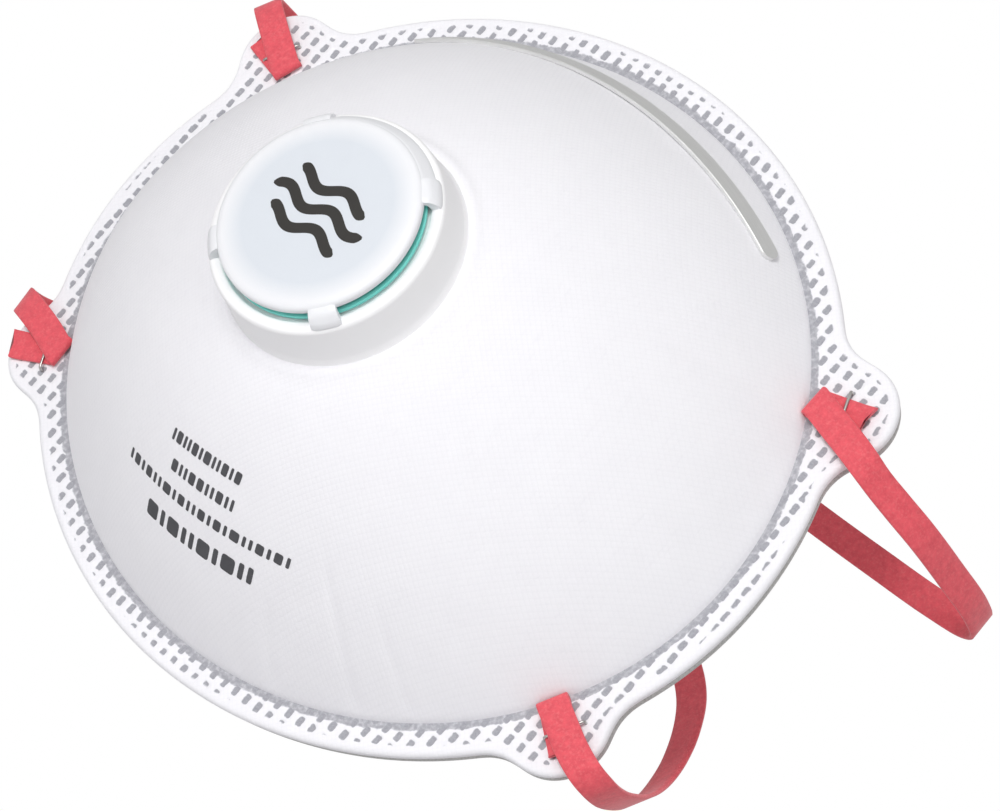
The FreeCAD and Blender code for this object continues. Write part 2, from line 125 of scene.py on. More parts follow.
def add_floor():
    mesh = bpy.data.meshes.new("floor")
    reach = 3.0
    corners = [(-reach, -reach), (reach, -reach), (reach, reach), (-reach, reach)]
    mesh.from_pydata([(x, y, FLOOR_HEIGHT) for x, y in corners], [], [(0, 1, 2, 3)])
    floor = bpy.data.objects.new("floor", mesh)
    paint = bpy.data.materials.new("pale_floor")
    paint.use_nodes = True
    paint.node_tree.nodes["Principled BSDF"].inputs["Base Color"].default_value = (0.86, 0.86, 0.87, 1)
    paint.node_tree.nodes["Principled BSDF"].inputs["Roughness"].default_value = 0.7
    mesh.materials.append(paint)
    bpy.context.scene.collection.objects.link(floor)


bpy.context.scene.view_settings.view_transform = "Standard"
add_camera()
add_world(seen=1.0, lit=0.42)
add_light("front", (0.1, -1.7, 0.2), (0, 0, 0), 0.6, 14.5)
add_light("key", (1.15, -1.15, 0.36), (0, 0, 0), 0.9, 4.4)
add_light("rear", (0.3, 1.3, 0.7), (0, 0, 0), 1.2, 6)
add_floor()
print("studio ready, floor at", FLOOR_HEIGHT)

# %% [markdown]
# ## Mesh helpers
# Almost every piece here is a pile of rings: a shell is a front skin, a rim and a back skin; a
# strap is a run of rounded rectangles; a valve part is a profile turned about an axis. So one
# function skins a list of rings. Neighbouring rings may differ by a factor of two in their number
# of points, which lets a finely pressed rim join a plain cup without wasted faces. A closed shell
# has a positive volume when its faces point outwards, and that decides the winding.

# %% Skin rings into a closed mesh
SHARP_ANGLE = math.radians(48)


def bridge(first, second, first_start, second_start):
    """Faces between two rings of equal, double or half count, given where their points start."""
    k = np.arange(max(first, second))
    if first == second:
        after = (k + 1) % first
        return [tuple(face) for face in np.stack(
            [first_start + k, first_start + after, second_start + after, second_start + k], 1).tolist()]
    fine, coarse = max(first, second), min(first, second)
    fine_start, coarse_start = (first_start, second_start) if first > second else (second_start, first_start)
    faces = []
    for m in range(coarse):
        a, b, c = (fine_start + (2 * m + step) % fine for step in range(3))
        p, q = coarse_start + m, coarse_start + (m + 1) % coarse
        faces += [(a, b, p), (b, q, p), (b, c, q)]
    return faces if first > second else [face[::-1] for face in faces]


def signed_volume(points, faces):
    total = 0.0
    for corners in (3, 4):
        group = np.array([face for face in faces if len(face) == corners])
        if len(group):
            origin = points[group[:, 0]]
            for step in range(1, corners - 1):
                cross = np.cross(points[group[:, step]], points[group[:, step + 1]])
                total += float(np.einsum("ij,ij->", origin, cross))
    return total


def add_piece(name, points, faces, material=None, sharp=SHARP_ANGLE):
    """A linked object from points and faces, faces turned outwards and shaded smooth."""
    points = np.asarray(points, float)
    if signed_volume(points, faces) < 0:
        faces = [face[::-1] for face in faces]
    mesh = bpy.data.meshes.new(name)
    mesh.from_pydata(points.tolist(), [], faces)
    mesh.update()
    mesh.polygons.foreach_set("use_smooth", [True] * len(mesh.polygons))
    mesh.set_sharp_from_angle(angle=sharp)
    piece = bpy.data.objects.new(name, mesh)
    bpy.context.scene.collection.objects.link(piece)
    if material:
        mesh.materials.append(material)
    return piece


def skin(rings, around=False):
    """Points and faces of a tube of rings, its last ring joined to its first, or both ends capped."""
    starts = np.cumsum([0] + [len(ring) for ring in rings]).tolist()
    faces = []
    for i in range(len(rings) - 1):
        faces += bridge(len(rings[i]), len(rings[i + 1]), starts[i], starts[i + 1])
    if around:
        faces += bridge(len(rings[-1]), len(rings[0]), starts[-2], 0)
    else:
        faces.append(tuple(range(len(rings[0])))[::-1])
        faces.append(tuple(range(starts[-2], starts[-1])))
    return np.concatenate(rings), faces


def join(parts):
    """Several sets of points and faces as one."""
    points, faces, start = [], [], 0
    for part_points, part_faces in parts:
        points.append(part_points)
        faces += [tuple(start + corner for corner in face) for face in part_faces]
        start += len(part_points)
    return np.concatenate(points), faces


def set_attribute(piece, name, values):
    attribute = piece.data.attributes.new(name, "FLOAT", "POINT")
    attribute.data.foreach_set("value", np.asarray(values, np.float32))


def smooth_step(low, high, value):
    share = np.clip((value - low) / (high - low), 0, 1)
    return share * share * (3 - 2 * share)


print("mesh helpers ready")

# %% [markdown]
# ## Shader groups
# A texture is a small sum worked out at each point of a surface, and a node tree is that sum drawn
# as boxes. These helpers put down one box each, so that a tree can be written as a formula. A value
# may be a plain number or the output of another box.

# %% Node helpers
def plug(tree, value, socket):
    """Link a socket into an input, or set the input to a plain value."""
    if isinstance(value, bpy.types.NodeSocket):
        tree.links.new(value, socket)
    else:
        socket.default_value = value


def calc(tree, operation, *values, clamp=False):
    """One math node; each value is a socket or a number."""
    node = tree.nodes.new("ShaderNodeMath")
    node.operation = operation
    node.use_clamp = clamp
    for socket, value in zip(node.inputs, values):
        plug(tree, value, socket)
    return node.outputs[0]


def shader_group(name, inputs, outputs):
    """An empty shader node group and its two ends."""
    tree = bpy.data.node_groups.new(name, "ShaderNodeTree")
    for label, kind, default in inputs:
        socket = tree.interface.new_socket(label, in_out="INPUT", socket_type=kind)
        if default is not None:
            socket.default_value = default
    for label, kind in outputs:
        tree.interface.new_socket(label, in_out="OUTPUT", socket_type=kind)
    return tree, tree.nodes.new("NodeGroupInput"), tree.nodes.new("NodeGroupOutput")


def noise(tree, place, scale, detail=2.0, roughness=0.5):
    node = tree.nodes.new("ShaderNodeTexNoise")
    tree.links.new(place, node.inputs["Vector"])
    for label, value in (("Scale", scale), ("Detail", detail), ("Roughness", roughness)):
        plug(tree, value, node.inputs[label])
    return node.outputs["Fac"]


def mapped(tree, place, scale, turn=(0, 0, 0)):
    node = tree.nodes.new("ShaderNodeMapping")
    node.inputs["Scale"].default_value = scale
    node.inputs["Rotation"].default_value = turn
    tree.links.new(place, node.inputs["Vector"])
    return node.outputs[0]


def fade(tree, value, low, high):
    """Smooth share of value between low and high."""
    node = tree.nodes.new("ShaderNodeMapRange")
    node.interpolation_type = "SMOOTHSTEP"
    for label, item in (("Value", value), ("From Min", low), ("From Max", high)):
        plug(tree, item, node.inputs[label])
    return node.outputs[0]


print("node helpers ready")

# %% [markdown]
# Four effects are node groups with named sockets, so that every finish can share them. Fibres are
# stretched noise at three angles, as the threads of a spunbond web lie. Diamonds are the points
# where a calender roller pinched the web. Grain is the fine unevenness of moulded plastic, rolled
# metal and rubber. A group puts out heights and shades only, and the shader stays outside.

# %% Fibres, diamonds and grain
def make_fibres():
    """Threads that cross at three angles; near is the distance to the closest one."""
    tree, start, end = shader_group(
        "fibres",
        [("Place", "NodeSocketVector", None), ("Fibre Scale", "NodeSocketFloat", 900.0)],
        [("Height", "NodeSocketFloat"), ("Shade", "NodeSocketFloat")],
    )
    scale = start.outputs["Fibre Scale"]
    crossing = []
    for number, turn in enumerate((0.5, -0.7, 1.9)):
        place = mapped(tree, start.outputs["Place"], (1.0, 1.0, 0.14), (0.3 * number, turn, 0.2))
        strands = noise(tree, place, scale, 3.0, 0.6)
        crossing.append(calc(tree, "ABSOLUTE", calc(tree, "SUBTRACT", strands, 0.5)))
    near = calc(tree, "MINIMUM", calc(tree, "MINIMUM", crossing[0], crossing[1]), crossing[2])
    height = calc(tree, "SUBTRACT", 1.0, calc(tree, "MULTIPLY", near, 7.0, clamp=True))
    cloud = noise(tree, start.outputs["Place"], calc(tree, "MULTIPLY", scale, 0.12), 3.0)
    shade = calc(tree, "ADD", calc(tree, "MULTIPLY", cloud, 0.6), calc(tree, "MULTIPLY", height, 0.4))
    tree.links.new(height, end.inputs["Height"])
    tree.links.new(shade, end.inputs["Shade"])
    return tree


def make_diamonds():
    """Two slanting waves whose product bulges between the pinched points."""
    tree, start, end = shader_group(
        "diamonds",
        [("Place", "NodeSocketVector", None), ("Pitch", "NodeSocketFloat", 1.1 * MM)],
        [("Height", "NodeSocketFloat"), ("Pinch", "NodeSocketFloat")],
    )
    split = tree.nodes.new("ShaderNodeSeparateXYZ")
    tree.links.new(start.outputs["Place"], split.inputs[0])
    across, up = split.outputs[0], split.outputs[2]
    waves = []
    for operation in ("ADD", "SUBTRACT"):
        phase = calc(tree, "DIVIDE", calc(tree, operation, across, up), start.outputs["Pitch"])
        waves.append(calc(tree, "COSINE", calc(tree, "MULTIPLY", phase, math.pi)))
    product = calc(tree, "MULTIPLY", waves[0], waves[1])
    bulge = calc(tree, "POWER", calc(tree, "ABSOLUTE", product), 0.5)
    pinch = calc(tree, "SUBTRACT", 1.0, calc(tree, "MULTIPLY", bulge, 1.6, clamp=True))
    tree.links.new(bulge, end.inputs["Height"])
    tree.links.new(pinch, end.inputs["Pinch"])
    return tree


def make_grain():
    """Fine noise for the bump, and broad noise for patches of colour and shine."""
    tree, start, end = shader_group(
        "grain",
        [
            ("Place", "NodeSocketVector", None),
            ("Grain Scale", "NodeSocketFloat", 2500.0),
            ("Patch Scale", "NodeSocketFloat", 90.0),
        ],
        [("Height", "NodeSocketFloat"), ("Patch", "NodeSocketFloat")],
    )
    fine = noise(tree, start.outputs["Place"], start.outputs["Grain Scale"], 2.0)
    patch = noise(tree, start.outputs["Place"], start.outputs["Patch Scale"], 4.0, 0.65)
    tree.links.new(fine, end.inputs["Height"])
    tree.links.new(patch, end.inputs["Patch"])
    return tree


print("three textures can be made")

# %% [markdown]
# The fourth effect says how far the flange's web is pressed at a place: rounded dashes on a
# straight grid, and a weld round the foot of the cup, both with edges that wander a little. It is
# built by a function of its own, because the mesh is pushed in by the same rule later, and the
# colour has to stay in step with the shape.

# %% Pressed dashes and the weld
DASH_SIZES = {
    "Pitch Across": 2.53 * MM,
    "Pitch Up": 2.46 * MM,
    "Shift Across": -0.35 * MM,
    "Shift Up": 1.16 * MM,
    "Dash Width": 1.15 * MM,
    "Dash Height": 1.8 * MM,
    "Plain Margin": 1.6 * MM,
    "Weld Width": 1.05 * MM,
}
DASH_CORNER, DASH_EDGE, MARGIN_EDGE = 0.4 * MM, (0.22 * MM, 0.56 * MM), 0.3 * MM
WELD_EDGE, WELD_STRENGTH, WELD_START = 0.45 * MM, 0.82, -0.2 * MM
WANDER, WANDER_SCALE = 1.0 * MM, 700.0


def dash_field(tree, place, from_foot, from_rim, sizes):
    """How far the web is pressed at a place: dashes on a straight grid, and the weld at the foot."""
    split = tree.nodes.new("ShaderNodeSeparateXYZ")
    tree.links.new(place, split.inputs[0])
    reach = []
    for coordinate, pitch, shift, length in (
        (split.outputs[0], "Pitch Across", "Shift Across", "Dash Width"),
        (split.outputs[2], "Pitch Up", "Shift Up", "Dash Height"),
    ):
        cell = calc(tree, "DIVIDE", calc(tree, "SUBTRACT", coordinate, sizes[shift]), sizes[pitch])
        offset = calc(tree, "SUBTRACT", cell, calc(tree, "ROUND", cell))
        gap = calc(tree, "MULTIPLY", calc(tree, "ABSOLUTE", offset), sizes[pitch])
        half = calc(tree, "MULTIPLY", sizes[length], 0.5)
        past = calc(tree, "SUBTRACT", calc(tree, "ADD", gap, DASH_CORNER), half)
        reach.append(calc(tree, "MAXIMUM", past, 0.0))
    squares = [calc(tree, "MULTIPLY", past, past) for past in reach]
    corner = calc(tree, "SQRT", calc(tree, "ADD", *squares))
    drift = calc(tree, "SUBTRACT", noise(tree, place, WANDER_SCALE), 0.5)
    wander = calc(tree, "MULTIPLY", drift, WANDER)
    corner = calc(tree, "ADD", corner, calc(tree, "MULTIPLY", wander, 0.5))
    dash = calc(tree, "SUBTRACT", 1.0, fade(tree, corner, *DASH_EDGE))
    margin = calc(tree, "ADD", sizes["Plain Margin"], wander)
    margin_ends = [calc(tree, operation, margin, MARGIN_EDGE) for operation in ("SUBTRACT", "ADD")]
    inside = fade(tree, from_rim, *margin_ends)
    weld_low = calc(tree, "ADD", sizes["Weld Width"], wander)
    weld_high = calc(tree, "ADD", weld_low, WELD_EDGE)
    weld = calc(tree, "SUBTRACT", 1.0, fade(tree, from_foot, weld_low, weld_high))
    weld = calc(tree, "MULTIPLY", weld, WELD_STRENGTH)
    weld = calc(tree, "MULTIPLY", weld, calc(tree, "GREATER_THAN", from_foot, WELD_START))
    return calc(tree, "MAXIMUM", calc(tree, "MULTIPLY", dash, inside), weld)


def make_pressed():
    sizes = [(label, "NodeSocketFloat", size) for label, size in DASH_SIZES.items()]
    tree, start, end = shader_group(
        "pressed",
        [
            ("Place", "NodeSocketVector", None),
            ("From Foot", "NodeSocketFloat", 0.0),
            ("From Rim", "NodeSocketFloat", 0.0),
            *sizes,
        ],
        [("Pressed", "NodeSocketFloat")],
    )
    place, from_foot, from_rim = (start.outputs[label] for label in ("Place", "From Foot", "From Rim"))
    pressed = dash_field(tree, place, from_foot, from_rim, start.outputs)
    tree.links.new(pressed, end.inputs["Pressed"])
    return tree


GROUPS = {
    "fibres": make_fibres(),
    "diamonds": make_diamonds(),
    "grain": make_grain(),
    "pressed": make_pressed(),
}
print("shader groups:", ", ".join(GROUPS))

# %% [markdown]
# ## Finishes
# Each finish is a Principled shader with its plain numbers set on its own sockets, and textures
# that only vary its colour, roughness and normal. Patterns read Object coordinates, so they stay
# put on the piece; along the bands and the nose strip they read the piece's own UV map, measured
# in metres along and across the strip.

# %% Material helpers
def start_material(name, colour, roughness, **constants):
    material = bpy.data.materials.new(name)
    material.use_nodes = True
    tree = material.node_tree
    shader = tree.nodes["Principled BSDF"]
    shader.inputs["Base Color"].default_value = (*colour, 1)
    shader.inputs["Roughness"].default_value = roughness
    for label, value in constants.items():
        shader.inputs[label.replace("_", " ")].default_value = value
    return material, tree, shader


def place_on(tree, kind="Object"):
    """Object coordinates, or the piece's own UV map."""
    return tree.nodes.new("ShaderNodeTexCoord").outputs[kind]


def use_group(tree, name, place, **values):
    node = tree.nodes.new("ShaderNodeGroup")
    node.node_tree = GROUPS[name]
    tree.links.new(place, node.inputs["Place"])
    for label, value in values.items():
        node.inputs[label.replace("_", " ")].default_value = value
    return node.outputs


def blend_colours(tree, share, low, high):
    """Mix of two colours; share, low and high are sockets or values."""
    node = tree.nodes.new("ShaderNodeMix")
    node.data_type = "RGBA"
    plug(tree, share, node.inputs["Factor"])
    for number, colour in ((6, low), (7, high)):
        plug(tree, (*colour, 1) if isinstance(colour, tuple) else colour, node.inputs[number])
    return node.outputs[2]


def add_bump(tree, shader, heights, distance):
    """Sum of (height socket, weight) pairs as one bump."""
    total = 0.0
    for height, weight in heights:
        total = calc(tree, "ADD", total, calc(tree, "MULTIPLY", height, weight))
    bump = tree.nodes.new("ShaderNodeBump")
    bump.inputs["Distance"].default_value = distance
    bump.inputs["Strength"].default_value = 1.0
    tree.links.new(total, bump.inputs["Height"])
    tree.links.new(bump.outputs[0], shader.inputs["Normal"])


def read_attribute(tree, name):
    node = tree.nodes.new("ShaderNodeAttribute")
    node.attribute_name = name
    return node.outputs["Fac"]


print("material helpers ready")

# %% [markdown]
# The webs come first: white spunbond for the cover, plainer cloth for the filter, felt and lining,
# and grey foam for the seal. What makes them believable is small: the pinched diamonds of the web,
# its loose fibres, and the ragged edge of a pressed dash.

# %% Cloth and foam
WHITE_WEB = (0.83, 0.83, 0.855)
PRESSED_GREY = (0.25, 0.25, 0.28)


def make_cover_cloth():
    """White spunbond: pinched diamonds, loose fibres, and grey where the webs are pressed thin."""
    material, tree, shader = start_material("cover_cloth", WHITE_WEB, 0.92, Sheen_Weight=0.12)
    place = place_on(tree)
    fibres = use_group(tree, "fibres", place, Fibre_Scale=1100.0)
    diamonds = use_group(tree, "diamonds", place, Pitch=1.05 * MM)
    web = blend_colours(tree, fibres["Shade"], (0.82, 0.81, 0.845), (0.88, 0.872, 0.90))
    web = blend_colours(tree, calc(tree, "MULTIPLY", diamonds["Pinch"], 0.16), web, (0.70, 0.70, 0.74))
    fuzz = use_group(tree, "grain", place, Grain_Scale=3000.0, Patch_Scale=1500.0)
    group = tree.nodes.new("ShaderNodeGroup")
    group.node_tree = GROUPS["pressed"]
    tree.links.new(place, group.inputs["Place"])
    tree.links.new(read_attribute(tree, "from_foot"), group.inputs["From Foot"])
    tree.links.new(read_attribute(tree, "from_rim"), group.inputs["From Rim"])
    ragged = calc(tree, "MULTIPLY", calc(tree, "SUBTRACT", fuzz["Patch"], 0.5), 1.1)
    pressed = calc(tree, "ADD", group.outputs["Pressed"], ragged)
    pressed = calc(tree, "MULTIPLY", calc(tree, "SUBTRACT", pressed, 0.3), 1.7, clamp=True)
    felt = blend_colours(tree, fuzz["Height"], PRESSED_GREY, (0.46, 0.46, 0.495))
    tree.links.new(blend_colours(tree, pressed, web, felt), shader.inputs["Base Color"])
    add_bump(tree, shader, [(diamonds["Height"], 0.6), (fibres["Height"], 0.5)], 0.04 * MM)
    return material


def make_soft_cloth(name, light, dark, pitch, scale):
    """A plain web: lining, filter or felt."""
    material, tree, shader = start_material(name, light, 0.95, Sheen_Weight=0.15)
    place = place_on(tree)
    fibres = use_group(tree, "fibres", place, Fibre_Scale=scale)
    diamonds = use_group(tree, "diamonds", place, Pitch=pitch)
    tree.links.new(blend_colours(tree, fibres["Shade"], dark, light), shader.inputs["Base Color"])
    add_bump(tree, shader, [(diamonds["Height"], 0.3), (fibres["Height"], 0.7)], 0.07 * MM)
    return material


def make_foam():
    """Fine closed-cell foam: small round pores, with painted shade darkening their floors."""
    material, tree, shader = start_material("seal_foam", (0.50, 0.49, 0.48), 0.96, Sheen_Weight=0.1)
    place = place_on(tree)
    cells = tree.nodes.new("ShaderNodeTexVoronoi")
    cells.inputs["Scale"].default_value = 2600.0
    tree.links.new(place, cells.inputs["Vector"])
    pores = calc(tree, "MULTIPLY", cells.outputs["Distance"], 1.6, clamp=True)
    patch = use_group(tree, "grain", place, Grain_Scale=3000.0, Patch_Scale=120.0)["Patch"]
    # Painted shade: the colour is darker at the floor of each pore, as if shade fell in it, with random
    # patches over it.
    shade = calc(tree, "MULTIPLY", pores, calc(tree, "ADD", patch, 0.4), clamp=True)
    colour = blend_colours(tree, shade, (0.36, 0.355, 0.35), (0.56, 0.55, 0.54))
    tree.links.new(colour, shader.inputs["Base Color"])
    add_bump(tree, shader, [(pores, 1.0)], 0.08 * MM)
    return material


COVER_CLOTH = make_cover_cloth()
FILTER_CLOTH = make_soft_cloth("filter_cloth", (0.84, 0.84, 0.84), (0.74, 0.74, 0.75), 2.1 * MM, 1500.0)
CARBON_FELT = make_soft_cloth("carbon_felt", (0.36, 0.36, 0.39), (0.22, 0.22, 0.25), 2.4 * MM, 1300.0)
LINING_CLOTH = make_soft_cloth("lining_cloth", (0.86, 0.86, 0.86), (0.76, 0.76, 0.77), 1.6 * MM, 1000.0)
SEAL_FOAM = make_foam()
print("cloth and foam:", len(bpy.data.materials))

# %% [markdown]
# The other finishes are red elastic with a dusty bloom, soft rolled aluminium, satin polypropylene
# that looks whiter towards its rim, and plain grained ones: teal silicone, steel wire and two inks.

# %% Elastic, metal, plastic and ink
FACE_RADIUS, RIM_FADE, DEPTH_FADE = 12.2 * MM, 3.125 * MM, MM / 0.9


def make_band_elastic():
    """Red elastic: fine flecks, faint ribs along the strip and a dusty bloom."""
    material, tree, shader = start_material("band_elastic", (0.73, 0.10, 0.14), 0.72, Sheen_Weight=0.25)
    place, strip = place_on(tree), place_on(tree, "UV")
    grain = use_group(tree, "grain", place, Grain_Scale=2600.0, Patch_Scale=900.0)
    flecks = calc(tree, "MULTIPLY", calc(tree, "SUBTRACT", grain["Height"], 0.5), 3.0, clamp=True)
    base = blend_colours(tree, grain["Patch"], (0.52, 0.035, 0.055), (0.92, 0.125, 0.155))
    base = blend_colours(tree, calc(tree, "MULTIPLY", flecks, 0.4), base, (0.84, 0.24, 0.24))
    tree.links.new(base, shader.inputs["Base Color"])
    ribs = noise(tree, mapped(tree, strip, (60.0, 5200.0, 1.0)), 1.0, 2.0)
    rough = calc(tree, "ADD", 0.6, calc(tree, "MULTIPLY", grain["Patch"], 0.3))
    tree.links.new(rough, shader.inputs["Roughness"])
    add_bump(tree, shader, [(ribs, 0.5), (grain["Height"], 0.5)], 0.04 * MM)
    return material


def make_nose_aluminium():
    """Soft bare aluminium: rolling lines along the strip and dull patches."""
    material, tree, shader = start_material("nose_aluminium", (0.80, 0.80, 0.79), 0.34, Metallic=0.6)
    strip = place_on(tree, "UV")
    lines = noise(tree, mapped(tree, strip, (120.0, 9000.0, 1.0)), 1.0, 3.0, 0.7)
    patch = use_group(tree, "grain", place_on(tree), Grain_Scale=2500.0, Patch_Scale=160.0)["Patch"]
    colour = blend_colours(tree, lines, (0.66, 0.66, 0.65), (0.90, 0.90, 0.89))
    tree.links.new(colour, shader.inputs["Base Color"])
    rough = calc(tree, "ADD", 0.16, calc(tree, "MULTIPLY", calc(tree, "ADD", lines, patch), 0.2))
    tree.links.new(rough, shader.inputs["Roughness"])
    add_bump(tree, shader, [(lines, 1.0)], 0.02 * MM)
    return material


def make_plastic(name, inner, outer, middle_y):
    """Satin polypropylene, cool on the face and whiter towards its rim."""
    material, tree, shader = start_material(name, inner, 0.42, Coat_Roughness=0.3)
    place = place_on(tree)
    split = tree.nodes.new("ShaderNodeSeparateXYZ")
    tree.links.new(place, split.inputs[0])
    squares = [calc(tree, "MULTIPLY", split.outputs[axis], split.outputs[axis]) for axis in (0, 2)]
    radius = calc(tree, "SQRT", calc(tree, "ADD", *squares))
    past_face = calc(tree, "SUBTRACT", radius, FACE_RADIUS)
    rim = calc(tree, "MULTIPLY", past_face, 1 / RIM_FADE, clamp=True)
    below = calc(tree, "SUBTRACT", split.outputs[1], middle_y)
    low = calc(tree, "MULTIPLY", below, 1 / DEPTH_FADE, clamp=True)
    grain = use_group(tree, "grain", place, Grain_Scale=3200.0, Patch_Scale=70.0)
    face = blend_colours(tree, grain["Patch"], inner, tuple(0.97 * part for part in inner))
    colour = blend_colours(tree, calc(tree, "MAXIMUM", rim, low), face, outer)
    tree.links.new(colour, shader.inputs["Base Color"])
    rough = calc(tree, "ADD", 0.34, calc(tree, "MULTIPLY", grain["Patch"], 0.2))
    tree.links.new(rough, shader.inputs["Roughness"])
    add_bump(tree, shader, [(grain["Height"], 1.0)], 0.012 * MM)
    return material


def make_grained(name, light, dark, roughness, bump, **constants):
    """Plain grained finish: silicone, steel wire or printing ink."""
    material, tree, shader = start_material(name, light, roughness, **constants)
    grain = use_group(tree, "grain", place_on(tree), Grain_Scale=4200.0, Patch_Scale=260.0)
    tree.links.new(blend_colours(tree, grain["Patch"], dark, light), shader.inputs["Base Color"])
    rough = calc(tree, "ADD", roughness - 0.1, calc(tree, "MULTIPLY", grain["Patch"], 0.2))
    tree.links.new(rough, shader.inputs["Roughness"])
    add_bump(tree, shader, [(grain["Height"], 1.0)], bump)
    return material


BAND_ELASTIC = make_band_elastic()
NOSE_ALUMINIUM = make_nose_aluminium()
TEAL_SILICONE = make_grained("teal_silicone", (0.24, 0.84, 0.75), (0.19, 0.77, 0.68), 0.4, 0.01 * MM)
STAPLE_WIRE = make_grained(
    "staple_wire", (0.62, 0.61, 0.59), (0.42, 0.41, 0.39), 0.32, 0.01 * MM, Metallic=1.0)
CAP_INK = make_grained("cap_ink", (0.030, 0.027, 0.024), (0.018, 0.016, 0.014), 0.55, 0.01 * MM)
CUP_INK = make_grained("cup_ink", (0.10, 0.10, 0.11), (0.045, 0.045, 0.05), 0.8, 0.02 * MM)
print("finishes:", len(bpy.data.materials))

# %% [markdown]
# ## The cup's surface
# The cup is one rule. Its levels are ovals made of two half ellipses, taller above than below,
# that turn round as they climb until they meet the flat circle under the valve. The rise follows
# a power of one minus the level's fraction squared. The same rule, moved in along the surface's
# slope, gives the back of each web, so the four layers nest without touching.

# %% Sizes and the cup rule
FOOT_HALF_WIDTH, FOOT_TOP, FOOT_BOTTOM, FOOT_DROP = 67.1 * MM, 60.7 * MM, 57.6 * MM, 1.7 * MM
APEX_RISE, CUP_POWER, FLAT_RADIUS, HOLE_RADIUS = 41.3 * MM, 0.87, 20.5 * MM, 14.1 * MM
LAYER_DEPTHS = {
    "outer_cover": 0.4 * MM,
    "filter_layer": 0.5 * MM,
    "carbon_layer": 0.3 * MM,
    "inner_lining": 0.4 * MM,
}
SEAL_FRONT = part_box("face_seal_foam")[0].y
FLANGE_FRONT = SEAL_FRONT - sum(LAYER_DEPTHS.values())
FLAT_FRACTION = FLAT_RADIUS / ((2 * FOOT_HALF_WIDTH + FOOT_TOP + FOOT_BOTTOM) / 4)


def cup_rise(fraction):
    return APEX_RISE * np.maximum(1 - fraction ** 2, 0) ** CUP_POWER


VALVE_FLAT = FLANGE_FRONT - cup_rise(FLAT_FRACTION)


def cup_slope(fraction):
    """Outward and forward parts of the surface's normal."""
    low = min(fraction, 1 - 2e-4)
    fall = (cup_rise(low) - cup_rise(low + 1e-4)) / (1e-4 * (FOOT_HALF_WIDTH + FOOT_TOP) / 2)
    length = math.hypot(1, fall)
    return fall / length, 1 / length


def level_shape(fraction):
    """Half width, height above and height below of one level, and how far it has turned round."""
    roundness = ((1 - fraction) / (1 - FLAT_FRACTION)) ** 2
    circle = FLAT_RADIUS * fraction / FLAT_FRACTION
    halves = [
        half * fraction + (circle - half * fraction) * roundness
        for half in (FOOT_HALF_WIDTH, FOOT_TOP, FOOT_BOTTOM)
    ]
    return halves, roundness


def cup_ring(fraction, turns, inset=0.0):
    """Points of one level, turned from straight up towards +X."""
    outward, forward = cup_slope(fraction)
    halves, roundness = level_shape(fraction)
    wide, above, below = (half - inset * outward for half in halves)
    up = np.cos(turns)
    x = wide * np.sin(turns)
    z = -FOOT_DROP * (1 - roundness) + np.where(up >= 0, above, below) * up
    y = np.full_like(x, FLANGE_FRONT - cup_rise(fraction) + inset * forward)
    return np.stack([x, y, z], 1)


def foot_ring(depth, turns):
    """Where the back of a web turns from the flange into the cup."""
    ring = cup_ring(1.0, turns, depth)
    ring[:, 1] = FLANGE_FRONT + depth
    return ring


def valve_ring(radius, forward, turns):
    """Circle about the valve's axis, forward of the flat under the valve."""
    y = np.full_like(turns, VALVE_FLAT - forward)
    return np.stack([radius * np.sin(turns), y, radius * np.cos(turns)], 1)


def full_turn(count):
    return np.arange(count) * 2 * math.pi / count


print("flange front", round(FLANGE_FRONT / MM, 2), "valve flat", round(cup_rise(FLAT_FRACTION) / MM, 2))

# %% [markdown]
# The rim's outline, with its four ears, is read off the frame: rays from outside towards the
# middle of the foam seal stop at its wall. A little smoothing round the loop takes away the
# facets that the frame's triangles leave.

# %% Outline of the rim
RIM_COLUMNS = 1440
RIM_CENTRE = np.array([0.0, 0.0, -FOOT_DROP])
RAY_START, SMOOTHED = 120 * MM, 6


def outline_reach(turns):
    """Distance from the oval's centre to the rim, in the direction of each point of the foot."""
    directions = (cup_ring(1.0, turns) - RIM_CENTRE) * np.array([1, 0, 1])
    directions /= np.linalg.norm(directions, axis=1)[:, None]
    seal = cad_nodes["face_seal_foam"]
    reach = []
    for direction in directions:
        start = Vector((direction[0] * RAY_START, SEAL_FRONT / 2, direction[2] * RAY_START - FOOT_DROP))
        hit, place, _, _ = seal.ray_cast(start, Vector(-direction))
        reach.append(math.hypot(place.x, place.z + FOOT_DROP) if hit else RAY_START)
    shifts = np.arange(-SMOOTHED, SMOOTHED + 1)
    weights = np.exp(-0.5 * (shifts / 2.4) ** 2)
    weights /= weights.sum()
    return directions, sum(weight * np.roll(reach, shift) for weight, shift in zip(weights, shifts))


RIM_TURNS = full_turn(RIM_COLUMNS)
RIM_DIRECTIONS, RIM_REACH = outline_reach(RIM_TURNS)


def rim_ring(inwards, y, every=1):
    """The outline moved towards the centre, at one depth."""
    ring = RIM_CENTRE + RIM_DIRECTIONS * (RIM_REACH - inwards)[:, None]
    ring[:, 1] = y
    return ring[::every]


print("rim", round(RIM_REACH.min() / MM, 1), "to", round(RIM_REACH.max() / MM, 1), "mm from the centre")

# %% [markdown]
# ## Outer cover
# The cover is the piece the eye lands on. It is a closed shell: front skin from the valve hole out
# to the rim, a rounded edge wrapped round the other webs, and a plain back skin. The rim has twice
# the columns of the cup, because the pressed dashes need them. A thermoformed web is never quite
# true, so a few shallow creases run up from the foot, and the web stands up in a soft ring round
# the valve where the clamp grips it.

